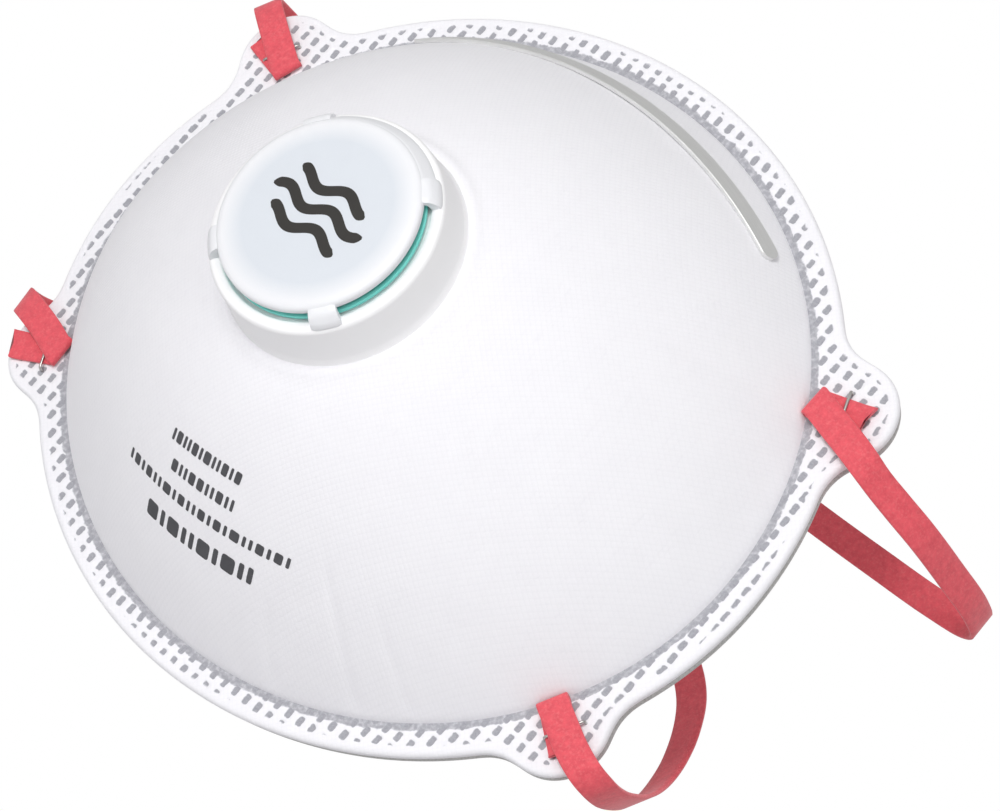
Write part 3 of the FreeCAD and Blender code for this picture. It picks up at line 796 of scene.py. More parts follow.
# %% Skin of the cover
CUP_COLUMNS = RIM_COLUMNS // 2
BACK_COLUMNS = RIM_COLUMNS // 4
FLANGE_RINGS = 30
EDGE_ROUND = 0.9 * MM
COVER_BACK_EDGE = SEAL_FRONT + 0.1 * MM
LEVELS, FIRST_LEVEL = 46, FLAT_FRACTION + 0.026
COLLAR = ((19.6, 0.05), (20.3, 0.22), (20.9, 0.30), (21.6, 0.12))  # radius and lift
CREASES = (
    # turn, half width in radians, depth in millimetres, and the level where it starts
    (1.09, 0.022, 0.14, 0.62),
    (1.29, 0.026, 0.16, 0.70),
    (1.41, 0.030, 0.14, 0.80),
    (2.49, 0.020, 0.16, 0.70),
    (2.63, 0.020, 0.20, 0.62),
    (2.86, 0.018, 0.14, 0.74),
    (2.97, 0.022, 0.16, 0.80),
    (3.62, 0.030, 0.14, 0.78),
    (4.15, 0.035, 0.12, 0.80),
)


def cup_creases(points, fraction, turns):
    """Shallow folds and a slight unevenness that a pressed web keeps."""
    depth = np.zeros(len(turns))
    for middle, width, deep, start in CREASES:
        share = float(smooth_step(start, start + 0.22, fraction))
        depth += deep * MM * share * np.exp(-((turns - middle) / width) ** 2)
    depth += 0.10 * MM * fraction * np.sin(5 * turns + 1.0) * np.sin(9 * fraction)
    outward, forward = cup_slope(fraction)
    normal = np.stack([outward * np.sin(turns), np.full_like(turns, -forward), outward * np.cos(turns)], 1)
    at_foot = float(smooth_step(0.97, 1.0, fraction))
    return points - normal * (depth * (1 - at_foot))[:, None]


def cover_front():
    """Rings of the front skin from the valve hole to the foot, then over the flange."""
    turns = full_turn(CUP_COLUMNS)
    rings = [valve_ring(HOLE_RADIUS, 0.0, turns), valve_ring(18.5 * MM, 0.0, turns)]
    for radius, lift in COLLAR:
        fall = 0.35 * max(radius * MM - FLAT_RADIUS, 0)
        rings.append(valve_ring(radius * MM, lift * MM - fall, turns))
    spread = 1 - (1 - np.linspace(0, 1, LEVELS)) ** 1.35
    for fraction in FIRST_LEVEL + (1 - FIRST_LEVEL) * spread[:-1]:
        rings.append(cup_creases(cup_ring(fraction, turns), fraction, turns))
    flange = []
    foot = cup_ring(1.0, RIM_TURNS)
    edge = rim_ring(EDGE_ROUND, FLANGE_FRONT)
    for share in np.linspace(0, 1, FLANGE_RINGS):
        ring = foot + (edge - foot) * share
        ring[:, 1] = FLANGE_FRONT
        flange.append(ring)
    return rings, flange


def cover_edge_and_back():
    """The rounded, wrapped edge and the plain back skin."""
    rings = []
    for angle in np.linspace(0, math.pi / 2, 6)[1:]:
        inwards = EDGE_ROUND * (1 - math.sin(angle))
        rings.append(rim_ring(inwards, FLANGE_FRONT + EDGE_ROUND * (1 - math.cos(angle))))
    rings.append(rim_ring(0.05 * MM, COVER_BACK_EDGE - 0.3 * MM, 2))
    rings.append(rim_ring(0.35 * MM, COVER_BACK_EDGE, 4))
    depth = LAYER_DEPTHS["outer_cover"]
    rings.append(rim_ring(0.55 * MM, COVER_BACK_EDGE - 0.2 * MM, 4))
    rings.append(rim_ring(0.6 * MM, FLANGE_FRONT + depth, 4))
    turns = full_turn(BACK_COLUMNS)
    rings.append(foot_ring(depth, turns))
    for fraction in np.linspace(1.0, FLAT_FRACTION, 16):
        rings.append(cup_ring(fraction, turns, depth))
    rings.append(valve_ring(HOLE_RADIUS, -depth, turns))
    return rings


cup_rings, flange_rings = cover_front()
hole_wall = [valve_ring(HOLE_RADIUS, -0.2 * MM, full_turn(CUP_COLUMNS))]
cover_rings = cup_rings + flange_rings + cover_edge_and_back() + hole_wall
cover_points, cover_faces = skin(cover_rings, around=True)
cover = add_piece("outer_cover_shell", cover_points, cover_faces)
print("cover:", len(cover_faces), "faces")

# %% [markdown]
# The dashes lie on one straight grid over the whole rim, whatever way the rim runs: the press is a
# flat plate. So the pattern is worked out from each point's own place. Two measures go onto the
# mesh first, how far a point is from the foot and from the outline. They are kept, because the
# cover's finish reads them too.

# %% Distances over the flange
def nearest_distance(points, loop, chunk=3000):
    """Distance in the flange's plane from each point to a closed loop of points."""
    flat, loop = points[:, [0, 2]], loop[:, [0, 2]]
    distances = []
    for start in range(0, len(flat), chunk):
        gaps = flat[start:start + chunk, None, :] - loop[None, :, :]
        distances.append(np.sqrt((gaps ** 2).sum(2)).min(1))
    return np.concatenate(distances)


def mark_flange(piece, first, count):
    """Store from_foot and from_rim on the flange's front, and far values everywhere else."""
    total = len(piece.data.vertices)
    from_foot, from_rim = np.full(total, -1.0), np.full(total, -1.0)
    points = cover_points[first:first + count]
    foot = cup_ring(1.0, RIM_TURNS)
    from_foot[first:first + count] = nearest_distance(points, foot)
    from_rim[first:first + count] = nearest_distance(points, rim_ring(0.0, 0.0))
    set_attribute(piece, "from_foot", from_foot)
    set_attribute(piece, "from_rim", from_rim)


flange_start = len(cup_rings) * CUP_COLUMNS
mark_flange(cover, flange_start, FLANGE_RINGS * RIM_COLUMNS)
print("flange points measured:", FLANGE_RINGS * RIM_COLUMNS)

# %% [markdown]
# A Geometry Nodes tree does the pressing. It finds the nearest grid cell, shapes a rounded dash in
# it, adds the weld round the foot, and pushes the web in by that much. The same field in the finish
# turns the pressed places grey, at any fineness, however wide the faces are. The helpers in this
# cell serve the later trees as well.

# %% Geometry Nodes: the pressed dashes
DASH_DEPTH = 0.24 * MM


def geometry_tree(name, inputs):
    """A Geometry Nodes tree with named inputs, and its two ends."""
    tree = bpy.data.node_groups.new(name, "GeometryNodeTree")
    tree.interface.new_socket("Geometry", in_out="INPUT", socket_type="NodeSocketGeometry")
    for label, kind in inputs:
        tree.interface.new_socket(label, in_out="INPUT", socket_type=kind)
    tree.interface.new_socket("Geometry", in_out="OUTPUT", socket_type="NodeSocketGeometry")
    return tree, tree.nodes.new("NodeGroupInput"), tree.nodes.new("NodeGroupOutput")


def run_tree(piece, tree, values):
    """Evaluate a tree on a piece and keep the result as its plain mesh."""
    modifier = piece.modifiers.new(tree.name, "NODES")
    modifier.node_group = tree
    for item in tree.interface.items_tree:
        if item.item_type == "SOCKET" and item.in_out == "INPUT" and item.name in values:
            modifier[item.identifier] = values[item.name]
    depsgraph = bpy.context.evaluated_depsgraph_get()
    made = bpy.data.meshes.new_from_object(
        piece.evaluated_get(depsgraph), preserve_all_data_layers=True, depsgraph=depsgraph
    )
    piece.modifiers.clear()
    piece.data = made
    return piece


def named_value(tree, name, kind="FLOAT"):
    node = tree.nodes.new("GeometryNodeInputNamedAttribute")
    node.data_type = kind
    node.inputs["Name"].default_value = name
    return node.outputs["Attribute"]


def finish_tree(tree, start, end, geometry, material_input):
    """Realize Instances and Set Material, the last two nodes of every tree."""
    realize = tree.nodes.new("GeometryNodeRealizeInstances")
    finish = tree.nodes.new("GeometryNodeSetMaterial")
    tree.links.new(geometry, realize.inputs[0])
    tree.links.new(realize.outputs[0], finish.inputs["Geometry"])
    tree.links.new(start.outputs[material_input], finish.inputs["Material"])
    tree.links.new(finish.outputs[0], end.inputs["Geometry"])


def make_dash_tree():
    sizes = [(label, "NodeSocketFloat") for label in (*DASH_SIZES, "Dash Depth")]
    tree, start, end = geometry_tree("pressed_dashes", [*sizes, ("Finish", "NodeSocketMaterial")])
    place = tree.nodes.new("GeometryNodeInputPosition").outputs[0]
    from_foot, from_rim = named_value(tree, "from_foot"), named_value(tree, "from_rim")
    pressed = dash_field(tree, place, from_foot, from_rim, start.outputs)
    offset = tree.nodes.new("ShaderNodeCombineXYZ")
    tree.links.new(calc(tree, "MULTIPLY", pressed, start.outputs["Dash Depth"]), offset.inputs["Y"])
    move = tree.nodes.new("GeometryNodeSetPosition")
    tree.links.new(start.outputs["Geometry"], move.inputs["Geometry"])
    tree.links.new(offset.outputs[0], move.inputs["Offset"])
    finish_tree(tree, start, end, move.outputs[0], "Finish")
    return tree


run_tree(cover, make_dash_tree(), {**DASH_SIZES, "Dash Depth": DASH_DEPTH, "Finish": COVER_CLOTH})
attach(cover, "mask")
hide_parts("outer_cover")
print("pressed cover:", len(cover.data.polygons), "faces")

# %% [markdown]
# ## Filter, felt and lining
# The three inner webs follow the same rule, each set back by the depth of those in front of it.
# Only the lining shows, from behind, so it gets the finer mesh; the others are there for whoever
# lifts the cover off. They stop just short of the outline, inside the cover's wrapped edge.

# %% The three inner webs
def web_rings(front, back, cup_levels, columns, rim_gap):
    """Front skin, edge and back skin of one web, given how far behind the cover they lie."""
    every = RIM_COLUMNS // columns
    turns = full_turn(columns)
    fractions = np.linspace(FLAT_FRACTION, 1.0, cup_levels)
    rings = [valve_ring(HOLE_RADIUS, -front, turns)]
    rings += [cup_ring(fraction, turns, front) for fraction in fractions]
    rings.append(foot_ring(front, turns))
    rings.append(rim_ring(rim_gap, FLANGE_FRONT + front + 0.02 * MM, every))
    rings.append(rim_ring(rim_gap, FLANGE_FRONT + back - 0.02 * MM, every))
    rings.append(foot_ring(back, turns))
    rings += [cup_ring(fraction, turns, back) for fraction in fractions[::-1]]
    rings.append(valve_ring(HOLE_RADIUS, -back, turns))
    return rings


WEBS = (
    ("filter_layer", "filter_web", FILTER_CLOTH, "filter_nonwoven", 24, 360),
    ("carbon_layer", "carbon_web", CARBON_FELT, "carbon_nonwoven", 24, 360),
    ("inner_lining", "lining_web", LINING_CLOTH, "lining_nonwoven", 48, 720),
)
depth = LAYER_DEPTHS["outer_cover"]
for node, name, material, slot, levels, columns in WEBS:
    rings = web_rings(depth, depth + LAYER_DEPTHS[node], levels, columns, 0.75 * MM)
    web = add_piece(name, *skin(rings, around=True), material)
    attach(web, "mask")
    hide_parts(node)
    depth += LAYER_DEPTHS[node]
    print(name, "ends", round(depth / MM, 2), "mm behind the cover's front")

# %% [markdown]
# ## Face seal
# The seal is a flat ring of soft foam that lies on the face. It is cut a hair smaller than the
# cover, and foam has no crisp corners, so its edges are rounded and its back is slightly crowned.

# %% Foam ring
def seal_rings(columns=720, corner=0.55 * MM, crown=0.12 * MM):
    """Sections of the foam ring, from its outer wall over its back to its mouth."""
    every = RIM_COLUMNS // columns
    mouth = cup_ring(1.0, full_turn(columns), sum(LAYER_DEPTHS.values()))
    outer = rim_ring(0.3 * MM, 0.0, every)
    inward = (mouth - outer) * np.array([1, 0, 1])
    width = np.linalg.norm(inward, axis=1)[:, None]
    inward /= width
    front, back = SEAL_FRONT + 0.02 * MM, -crown
    middle, half = (front + back) / 2, (back - front) / 2 - corner

    def rounded_wall(wall, way, angles):
        """Rings round one wall of the ring, its two corners rounded."""
        wall_rings = []
        for angle in angles:
            ring = wall + way * corner * (1 - math.cos(angle))
            flat = math.copysign(half, angle) * (abs(angle) > 1e-6)
            ring[:, 1] = middle + flat + corner * math.sin(angle)
            wall_rings.append(ring)
        return wall_rings

    angles = np.linspace(-math.pi / 2, math.pi / 2, 7)
    rings = rounded_wall(outer, inward, angles)
    for share in (0.25, 0.5, 0.75):
        ring = outer + inward * width * share
        ring[:, 1] = back + crown * math.sin(math.pi * share)
        rings.append(ring)
    return rings + rounded_wall(mouth, -inward, angles[::-1])


seal = add_piece("face_seal", *skin(seal_rings(), around=True), SEAL_FOAM)
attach(seal, "mask")
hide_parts("face_seal_foam")
print("seal:", len(seal.data.polygons), "faces")

# %% [markdown]
# ## Straps and strips
# The bands and the nose strip are flat strips that follow a path. A path is a short list of given
# places, each with the direction across the strip. Between them a cubic that passes
# through every place gives a smooth line, and each step of it carries a rounded rectangle.

# %% Strip helpers
STRIP_SECTION = (
    (-1, 0), (-0.985, 0.62), (-0.93, 1), (-0.5, 1), (0, 1), (0.5, 1), (0.93, 1), (0.985, 0.62),
    (1, 0), (0.985, -0.62), (0.93, -1), (0.5, -1), (0, -1), (-0.5, -1), (-0.93, -1), (-0.985, -0.62),
)


def unit(vectors):
    return vectors / np.linalg.norm(vectors, axis=-1, keepdims=True)


def smooth_path(points, step):
    """Places along a cubic through the points."""
    points = np.asarray(points, float)
    spans = np.linalg.norm(np.diff(points[:, :3], axis=0), axis=1)
    knots = np.concatenate([[0], np.cumsum(spans)])
    slopes = np.gradient(points, knots, axis=0)
    count = max(int(knots[-1] / step), 8)
    at = np.linspace(0, knots[-1], count + 1)
    number = np.clip(np.searchsorted(knots, at, side="right") - 1, 0, len(spans) - 1)
    share = ((at - knots[number]) / spans[number])[:, None]
    span = spans[number][:, None]
    first, second = points[number], points[number + 1]
    return (
        (2 * share ** 3 - 3 * share ** 2 + 1) * first
        + (share ** 3 - 2 * share ** 2 + share) * span * slopes[number]
        + (3 * share ** 2 - 2 * share ** 3) * second
        + (share ** 3 - share ** 2) * span * slopes[number + 1]
    )


def strip_rings(centres, halves, normals, depth, section=STRIP_SECTION):
    """One rounded rectangle at each centre; halves reach across to the strip's edge."""
    u, v = np.array(section, float).T
    return [
        centre + np.outer(u, half) + np.outer(v * depth / 2, normal)
        for centre, half, normal in zip(centres, halves, normals)
    ]


def along_path(centres):
    return unit(np.gradient(centres, axis=0))


def strip_uv(centres, width, section=STRIP_SECTION):
    """UV in metres: along the strip, and across it."""
    lengths = np.concatenate([[0], np.cumsum(np.linalg.norm(np.diff(centres, axis=0), axis=1))])
    across = np.array(section, float)[:, 0] * width / 2
    return np.stack([np.repeat(lengths, len(section)), np.tile(across, len(centres))], 1)


def store_uv(piece, per_point):
    layer = piece.data.uv_layers.new(name="strip")
    corners = np.empty(len(piece.data.loops), np.int32)
    piece.data.loops.foreach_get("vertex_index", corners)
    layer.data.foreach_set("uv", per_point[corners].astype(np.float32).ravel())


print("strip section has", len(STRIP_SECTION), "points")

# %% [markdown]
# ## Nose strip
# A dead-soft aluminium strip is glued over the bridge of the nose and pinched to fit. It lies on
# the cup's own surface, so its path is worked out from the cup rule; its tips are rounded by
# narrowing the last few sections.

# %% Aluminium strip on the cup
NOSE_HALF_LENGTH, NOSE_WIDTH, NOSE_DEPTH, NOSE_TIP = 40.0 * MM, 3.6 * MM, 0.7 * MM, 1.44 * MM
NOSE_MIDDLE, NOSE_TIP_FALL, NOSE_GLUE = 0.895, 0.055, 0.12 * MM


def nose_strip():
    """Rings of the strip and their centres, along a shallow arc high on the cup."""
    shares = np.concatenate([
        np.linspace(-1, -0.955, 9), np.linspace(-0.94, 0.94, 120), np.linspace(0.955, 1, 9)])
    centres, normals = [], []
    for share in shares:
        fraction = NOSE_MIDDLE + NOSE_TIP_FALL * share ** 2
        half_width = cup_ring(fraction, np.array([math.pi / 2]))[0, 0]
        turn = np.array([math.asin(NOSE_HALF_LENGTH * share / half_width)])
        outward, forward = cup_slope(fraction)
        normal = unit(np.array([outward * math.sin(turn[0]), -forward, outward * math.cos(turn[0])]))
        centres.append(cup_ring(fraction, turn)[0] + normal * (NOSE_DEPTH / 2 + NOSE_GLUE))
        normals.append(normal)
    centres, normals = np.array(centres), np.array(normals)
    across = unit(np.cross(normals, along_path(centres)))
    tip = 1 - np.clip(NOSE_HALF_LENGTH * (1 - abs(shares)) / NOSE_TIP, 0, 1)
    half_widths = NOSE_WIDTH / 2 * np.sqrt(np.maximum(1 - tip ** 2, 0.04))
    halves = across * half_widths[:, None]
    rings = strip_rings(centres, halves, normals, NOSE_DEPTH)
    return rings, centres


rings, centres = nose_strip()
nose = add_piece("nose_strip", *skin(rings), NOSE_ALUMINIUM)
store_uv(nose, strip_uv(centres, NOSE_WIDTH))
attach(nose, "mask")
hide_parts("nose_clip")
print("nose strip:", round(float(np.linalg.norm(np.diff(centres, axis=0), axis=1).sum()) / MM, 1), "mm long")

# %% [markdown]
# ## Exhalation valve
# Four turned or moulded parts stack on one axis: a clamp ring behind the webs, a seat with its
# sealing lip, hub and spokes, a silicone disc, and a cap on four clips. Turning a profile is the
# natural way to make them. Each profile is a short list of corners, and every corner is rounded
# by the same function, because moulded plastic has no sharp edges. Clips are blocks swept through
# a small angle, and spokes are bars laid along a radius, with their outlines rounded too.

# %% Turned parts
VALVE_COLUMNS = 144


def corner_arc(before, corner, after, reach, steps):
    """Places along a small arc that takes the place of a corner."""
    start, end = corner + unit(before - corner) * reach, corner + unit(after - corner) * reach
    return [
        (1 - share) ** 2 * start + 2 * share * (1 - share) * corner + share ** 2 * end
        for share in np.linspace(0, 1, steps + 1)
    ]


def rounded(corners, radius, steps=3):
    """A closed outline with each corner replaced by a small arc."""
    corners = [np.array(corner, float) for corner in corners]
    outline = []
    for number, corner in enumerate(corners):
        before, after = corners[number - 1], corners[(number + 1) % len(corners)]
        sides = np.linalg.norm(before - corner), np.linalg.norm(after - corner)
        outline += corner_arc(before, corner, after, min(radius, 0.45 * min(sides)), steps)
    return np.array(outline)


def turned(profile, columns=VALVE_COLUMNS):
    """Points and faces of a closed profile of (radius, forward) turned about the valve's axis."""
    turns = full_turn(columns)
    rings = [valve_ring(max(radius, 0.0), forward, turns) for radius, forward in profile]
    return skin(rings, around=True)


def turned_solid(profile, columns=VALVE_COLUMNS):
    """The same for an open profile that starts and ends on the axis."""
    turns = full_turn(columns)
    rings = [valve_ring(max(radius, 0.02 * MM), forward, turns) for radius, forward in profile]
    return skin(rings)


def swept_block(outline, middle_turn, half_turn, steps=6):
    """A (radius, forward) outline swept a few degrees round the axis, its ends drawn in a little."""
    rings = []
    centre = outline.mean(0)
    for share in np.linspace(-1, 1, steps + 3):
        turn = np.full(1, middle_turn + half_turn * share)
        shrink = 1 - 0.12 * smooth_step(0.8, 1.0, abs(share))
        section = centre + (outline - centre) * shrink
        rings.append(np.concatenate([valve_ring(radius, forward, turn) for radius, forward in section]))
    return skin(rings)


def spoke(turn, start, end, low, high, width):
    """A straight spoke from the hub to the ring."""
    half = width / 2
    outline = rounded([(-half, low), (half, low), (half, high), (-half, high)], 0.3 * MM)
    out = np.array([math.sin(turn), 0, math.cos(turn)])
    side = np.array([math.cos(turn), 0, -math.sin(turn)])
    section = np.array([side * u + np.array([0, VALVE_FLAT - v, 0]) for u, v in outline])
    return skin([section + out * radius for radius in np.linspace(start, end, 5)])


CLIP_TURNS = [math.radians(45 + 90 * number) for number in range(4)]
print("clips at", [round(math.degrees(turn)) for turn in CLIP_TURNS], "degrees")

# %% [markdown]
# The profiles below are (radius, forward) pairs in millimetres, forward of the flat under the
# valve. Breath lifts the disc off the lip of the seat, so the disc is a piece of its own on its own
# body, with room above it to rise. The cap's gap is closed by a low lip over its top quarter, and
# open below, where the teal edge of the disc shows.

# %% Seat, disc, cap and clamp ring
def mm_pairs(*pairs):
    return [(radius * MM, forward * MM) for radius, forward in pairs]


CAP_CROWN = mm_pairs((0, 12.3), (4, 12.29), (8, 12.25), (12, 12.17), (14.6, 12.05))
CLIP_HALF_TURN = math.asin(2.3 / 18.0)


def make_seat():
    ring = rounded(mm_pairs(
        (12.6, -3.2), (14.0, -3.2), (14.0, 6.9), (17.4, 6.9), (18.2, 0.9), (18.3, 0.05), (20.0, 0.05),
        (19.85, 0.5), (19.6, 1.5), (19.35, 5.0), (19.1, 8.4), (18.8, 8.9), (18.2, 9.15), (17.1, 8.9),
        (16.8, 8.1), (15.3, 8.1), (15.1, 8.5), (14.6, 8.5), (14.2, 8.0), (12.6, 8.0)), 0.3 * MM)
    hub = mm_pairs(
        (0, 6.25), (2.6, 6.25), (3.0, 6.6), (3.0, 7.8), (2.7, 8.0), (1.2, 8.0), (1.2, 9.5), (0.9, 9.7),
        (0, 9.7))
    parts = [turned(ring), turned_solid(hub, 48)]
    parts += [spoke(turn, 1.0 * MM, 13.7 * MM, 6.4 * MM, 8.0 * MM, 1.6 * MM) for turn in CLIP_TURNS]
    return join(parts)


def make_cap():
    edge = mm_pairs(
        (15.5, 11.98), (16.1, 11.84), (16.45, 11.6), (16.6, 11.3), (16.6, 10.65), (16.5, 10.45),
        (16.2, 10.36), (15.6, 10.42), (14.8, 10.9), (6, 10.9), (0, 10.9))
    clip = rounded(mm_pairs(
        (15.9, 10.9), (16.9, 10.4), (17.3, 8.4), (18.5, 8.4), (18.9, 9.0), (18.6, 10.0), (17.6, 11.2),
        (16.0, 11.7)), 0.5 * MM)
    lip = rounded(mm_pairs(
        (15.6, 10.85), (16.3, 10.8), (17.2, 9.1), (18.3, 9.1), (18.0, 9.8), (16.7, 11.4), (15.7, 11.7)),
        0.4 * MM)
    clips = [swept_block(clip, turn, CLIP_HALF_TURN) for turn in CLIP_TURNS]
    return join([turned_solid(CAP_CROWN + edge), swept_block(lip, 0.0, CLIP_TURNS[0], 40)] + clips)


def make_disc():
    return turned(rounded(mm_pairs(
        (1.4, 8.55), (16.45, 8.55), (16.5, 9.3), (15.9, 9.3), (15.6, 9.05), (1.4, 9.05)), 0.2 * MM))


def make_clamp():
    return turned(rounded(mm_pairs(
        (14.0, -3.0), (15.0, -3.0), (15.2, -2.7), (18.6, -2.7), (18.9, -3.0), (19.5, -2.8),
        (19.5, -1.65), (14.0, -1.65)), 0.3 * MM))


CAP_PLASTIC = make_plastic(
    "cap_plastic", (0.69, 0.725, 0.775), (0.83, 0.835, 0.86), VALVE_FLAT - 11.2 * MM)
SEAT_PLASTIC = make_plastic(
    "seat_plastic", (0.95, 0.945, 0.955), (0.96, 0.955, 0.965), VALVE_FLAT - 20 * MM)
for name, made, material, node, slot, ridden in (
    ("valve_seat_moulding", make_seat(), SEAT_PLASTIC, "valve_seat", "valve_plastic", "mask"),
    ("valve_cap_moulding", make_cap(), CAP_PLASTIC, "valve_cap", "valve_plastic", "mask"),
    ("valve_clamp_moulding", make_clamp(), SEAT_PLASTIC, "valve_clamp_ring", "valve_plastic", "mask"),
    ("valve_disc_silicone", make_disc(), TEAL_SILICONE, "valve_disc", "valve_silicone", "valve_disc"),
):
    piece = add_piece(name, *made, material, sharp=math.radians(40))
    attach(piece, ridden)
    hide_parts(node)
    print(name, len(piece.data.polygons), "faces, rides on", ridden)

# %% [markdown]
# ## Printed marks
# A plain air-flow sign of three waves is printed on the cap, and four rows of plain bars and dots
# are stamped on the cup where such masks carry their class and batch. Print has hardly any height,
# but it is a skin of its own with its own finish, so it is made as thin closed pieces that follow
# the surface under them.

# %% Waves on the cap
INK_HEIGHT = 0.03 * MM
STROKE, SWING, WAVE_LENGTH = 1.75 * MM, 0.95 * MM, 9.4 * MM
WAVES = ((3.9, 7.6), (0.2, 9.6), (-3.5, 7.6))  # height and half length


def cap_wave(middle_z, half_length):
    """One wavy line across the cap, as rings of four points."""
    rings = []
    for x in np.linspace(-half_length, half_length, 61):
        phase = 2 * math.pi * x / WAVE_LENGTH
        z = middle_z + SWING * math.sin(phase)
        slope = SWING * 2 * math.pi / WAVE_LENGTH * math.cos(phase)
        side = unit(np.array([-slope, 1.0]))
        to_end = (half_length - abs(x)) / (STROKE / 2)
        half = STROKE / 2 * math.sqrt(max(min(1, to_end), 0.06))
        ring = []
        for across, lift in ((-1, -0.6), (1, -0.6), (1, 1), (-1, 1)):
            px, pz = x + side[0] * half * across, z + side[1] * half * across
            crown = np.interp(math.hypot(px, pz), *np.transpose(CAP_CROWN))
            ring.append((px, VALVE_FLAT - crown - lift * INK_HEIGHT, pz))
        rings.append(np.array(ring))
    return skin(rings)


waves = [cap_wave(height * MM, half_length * MM) for height, half_length in WAVES]
cap_mark = add_piece("cap_airflow_mark", *join(waves), CAP_INK)
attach(cap_mark, "mask")
print("cap mark:", len(cap_mark.data.polygons), "faces")

# %% [markdown]
# A row of bars is a start, an end, a sag and a pattern of lengths. Each bar's place is found on the
# cup by walking its levels until one passes through the place, and its direction by taking two
# short steps over the surface.

# %% Places of the stamped bars
BAR_GAP = 0.55
STAMP_ROWS = (
    # start (x, z), end (x, z), sag of the row, height of the bars, lengths along the row
    ((-9.5, -36.8), (6.3, -36.6), 0.3, 2.0, (0.5, 1.2, 0.5, 0.5, 1.2, 0.5, 1.4, 0.5, 0.5, 1.2, 0.5, 1.2)),
    ((-8.0, -40.4), (6.3, -40.2), 0.3, 2.0, (1.2, 0.5, 0.5, 1.2, 1.2, 0.5, 0.5, 1.2, 0.5, 0.5)),
    ((-18.5, -42.2), (18.3, -41.6), 2.0, 1.8, (
        0.5, 1.2, 0.5, 1.2, 0.5, 0.5, 1.5, 0.5, 1.2, 0.5, 0.5, 1.2, 0.5, 1.2, 0.5, 1.5,
        0.5, 0.5, 1.2, 0.5, 1.2, 0.5)),
    ((-11.7, -47.0), (12.5, -46.3), 0.9, 2.9, (1.9, 0.7, 1.9, 0.7, 0.7, 1.9, 0.7, 1.9, 0.7, 0.7)),
)


def surface_height(x, z):
    """Depth of the cup's front at (x, z), by walking the levels until one passes through the point."""
    low, high = FLAT_FRACTION, 1.0
    for _ in range(40):
        middle = (low + high) / 2
        (wide, above, below), roundness = level_shape(middle)
        rise = z + FOOT_DROP * (1 - roundness)
        if (x / wide) ** 2 + (rise / (above if rise >= 0 else below)) ** 2 > 1:
            low = middle
        else:
            high = middle
    return FLANGE_FRONT - float(cup_rise(middle))


def stamped_rows(rows):
    """Points, normals and lengths for rows of bars; a row is start, end and a pattern of lengths."""
    places, normals, lengths, thick = [], [], [], []
    for (x0, z0), (x1, z1), sag, height, pattern in rows:
        total = sum(pattern) + (len(pattern) - 1) * BAR_GAP
        at = 0.0
        for length in pattern:
            share = (at + length / 2) / total
            drop = sag * 4 * share * (1 - share)
            x, z = (x0 + (x1 - x0) * share) * MM, (z0 + (z1 - z0) * share - drop) * MM
            y, step = surface_height(x, z), 0.4 * MM
            along = np.array([step, surface_height(x + step, z) - y, 0])
            up = np.array([0, surface_height(x, z + step) - y, step])
            normal = unit(np.cross(along, up))
            normal = normal if normal[1] < 0 else -normal
            places.append((x, y, z))
            normals.append(normal)
            lengths.append(length / total * math.hypot(x1 - x0, z1 - z0) * MM)
            thick.append(height * MM)
            at += length + BAR_GAP
    return np.array(places), np.array(normals), np.array(lengths), np.array(thick)


places, normals, lengths, thick = stamped_rows(STAMP_ROWS)
print("bars to stamp:", len(lengths))

# %% [markdown]
# The bars repeat, so a Geometry Nodes tree sets one small bar on every point. Each point carries the
# surface's direction and the bar's length and height as attributes.

# %% Geometry Nodes: bars stamped on the cup
BAR_THICK = 0.07 * MM


def make_bar():
    """A flat bar of unit length and height, with round corners, standing along its own Z."""
    outline = rounded([(-0.5, -0.5), (0.5, -0.5), (0.5, 0.5), (-0.5, 0.5)], 0.22, 3)
    rings = [np.column_stack([outline, np.full(len(outline), z)]) for z in (-BAR_THICK, BAR_THICK)]
    return add_piece("bar_stamp", *skin(rings))


def make_bar_tree():
    """One bar on each point, its face along the surface's direction and its length level."""
    tree, start, end = geometry_tree(
        "stamped_bars", [("Bar", "NodeSocketObject"), ("Finish", "NodeSocketMaterial")])
    bar = tree.nodes.new("GeometryNodeObjectInfo")
    tree.links.new(start.outputs["Bar"], bar.inputs["Object"])
    stand = tree.nodes.new("FunctionNodeAlignRotationToVector")
    stand.axis = "Z"
    tree.links.new(named_value(tree, "facing", "FLOAT_VECTOR"), stand.inputs["Vector"])
    level = tree.nodes.new("FunctionNodeAlignRotationToVector")
    level.axis = "X"
    level.pivot_axis = "Z"
    level.inputs["Vector"].default_value = (1.0, 0.0, -0.06)
    tree.links.new(stand.outputs[0], level.inputs["Rotation"])
    size = tree.nodes.new("ShaderNodeCombineXYZ")
    tree.links.new(named_value(tree, "bar_length"), size.inputs["X"])
    tree.links.new(named_value(tree, "bar_height"), size.inputs["Y"])
    size.inputs["Z"].default_value = 1.0
    place = tree.nodes.new("GeometryNodeInstanceOnPoints")
    tree.links.new(start.outputs["Geometry"], place.inputs["Points"])
    tree.links.new(bar.outputs["Geometry"], place.inputs["Instance"])
    tree.links.new(level.outputs[0], place.inputs["Rotation"])
    tree.links.new(size.outputs[0], place.inputs["Scale"])
    finish_tree(tree, start, end, place.outputs[0], "Finish")
    return tree


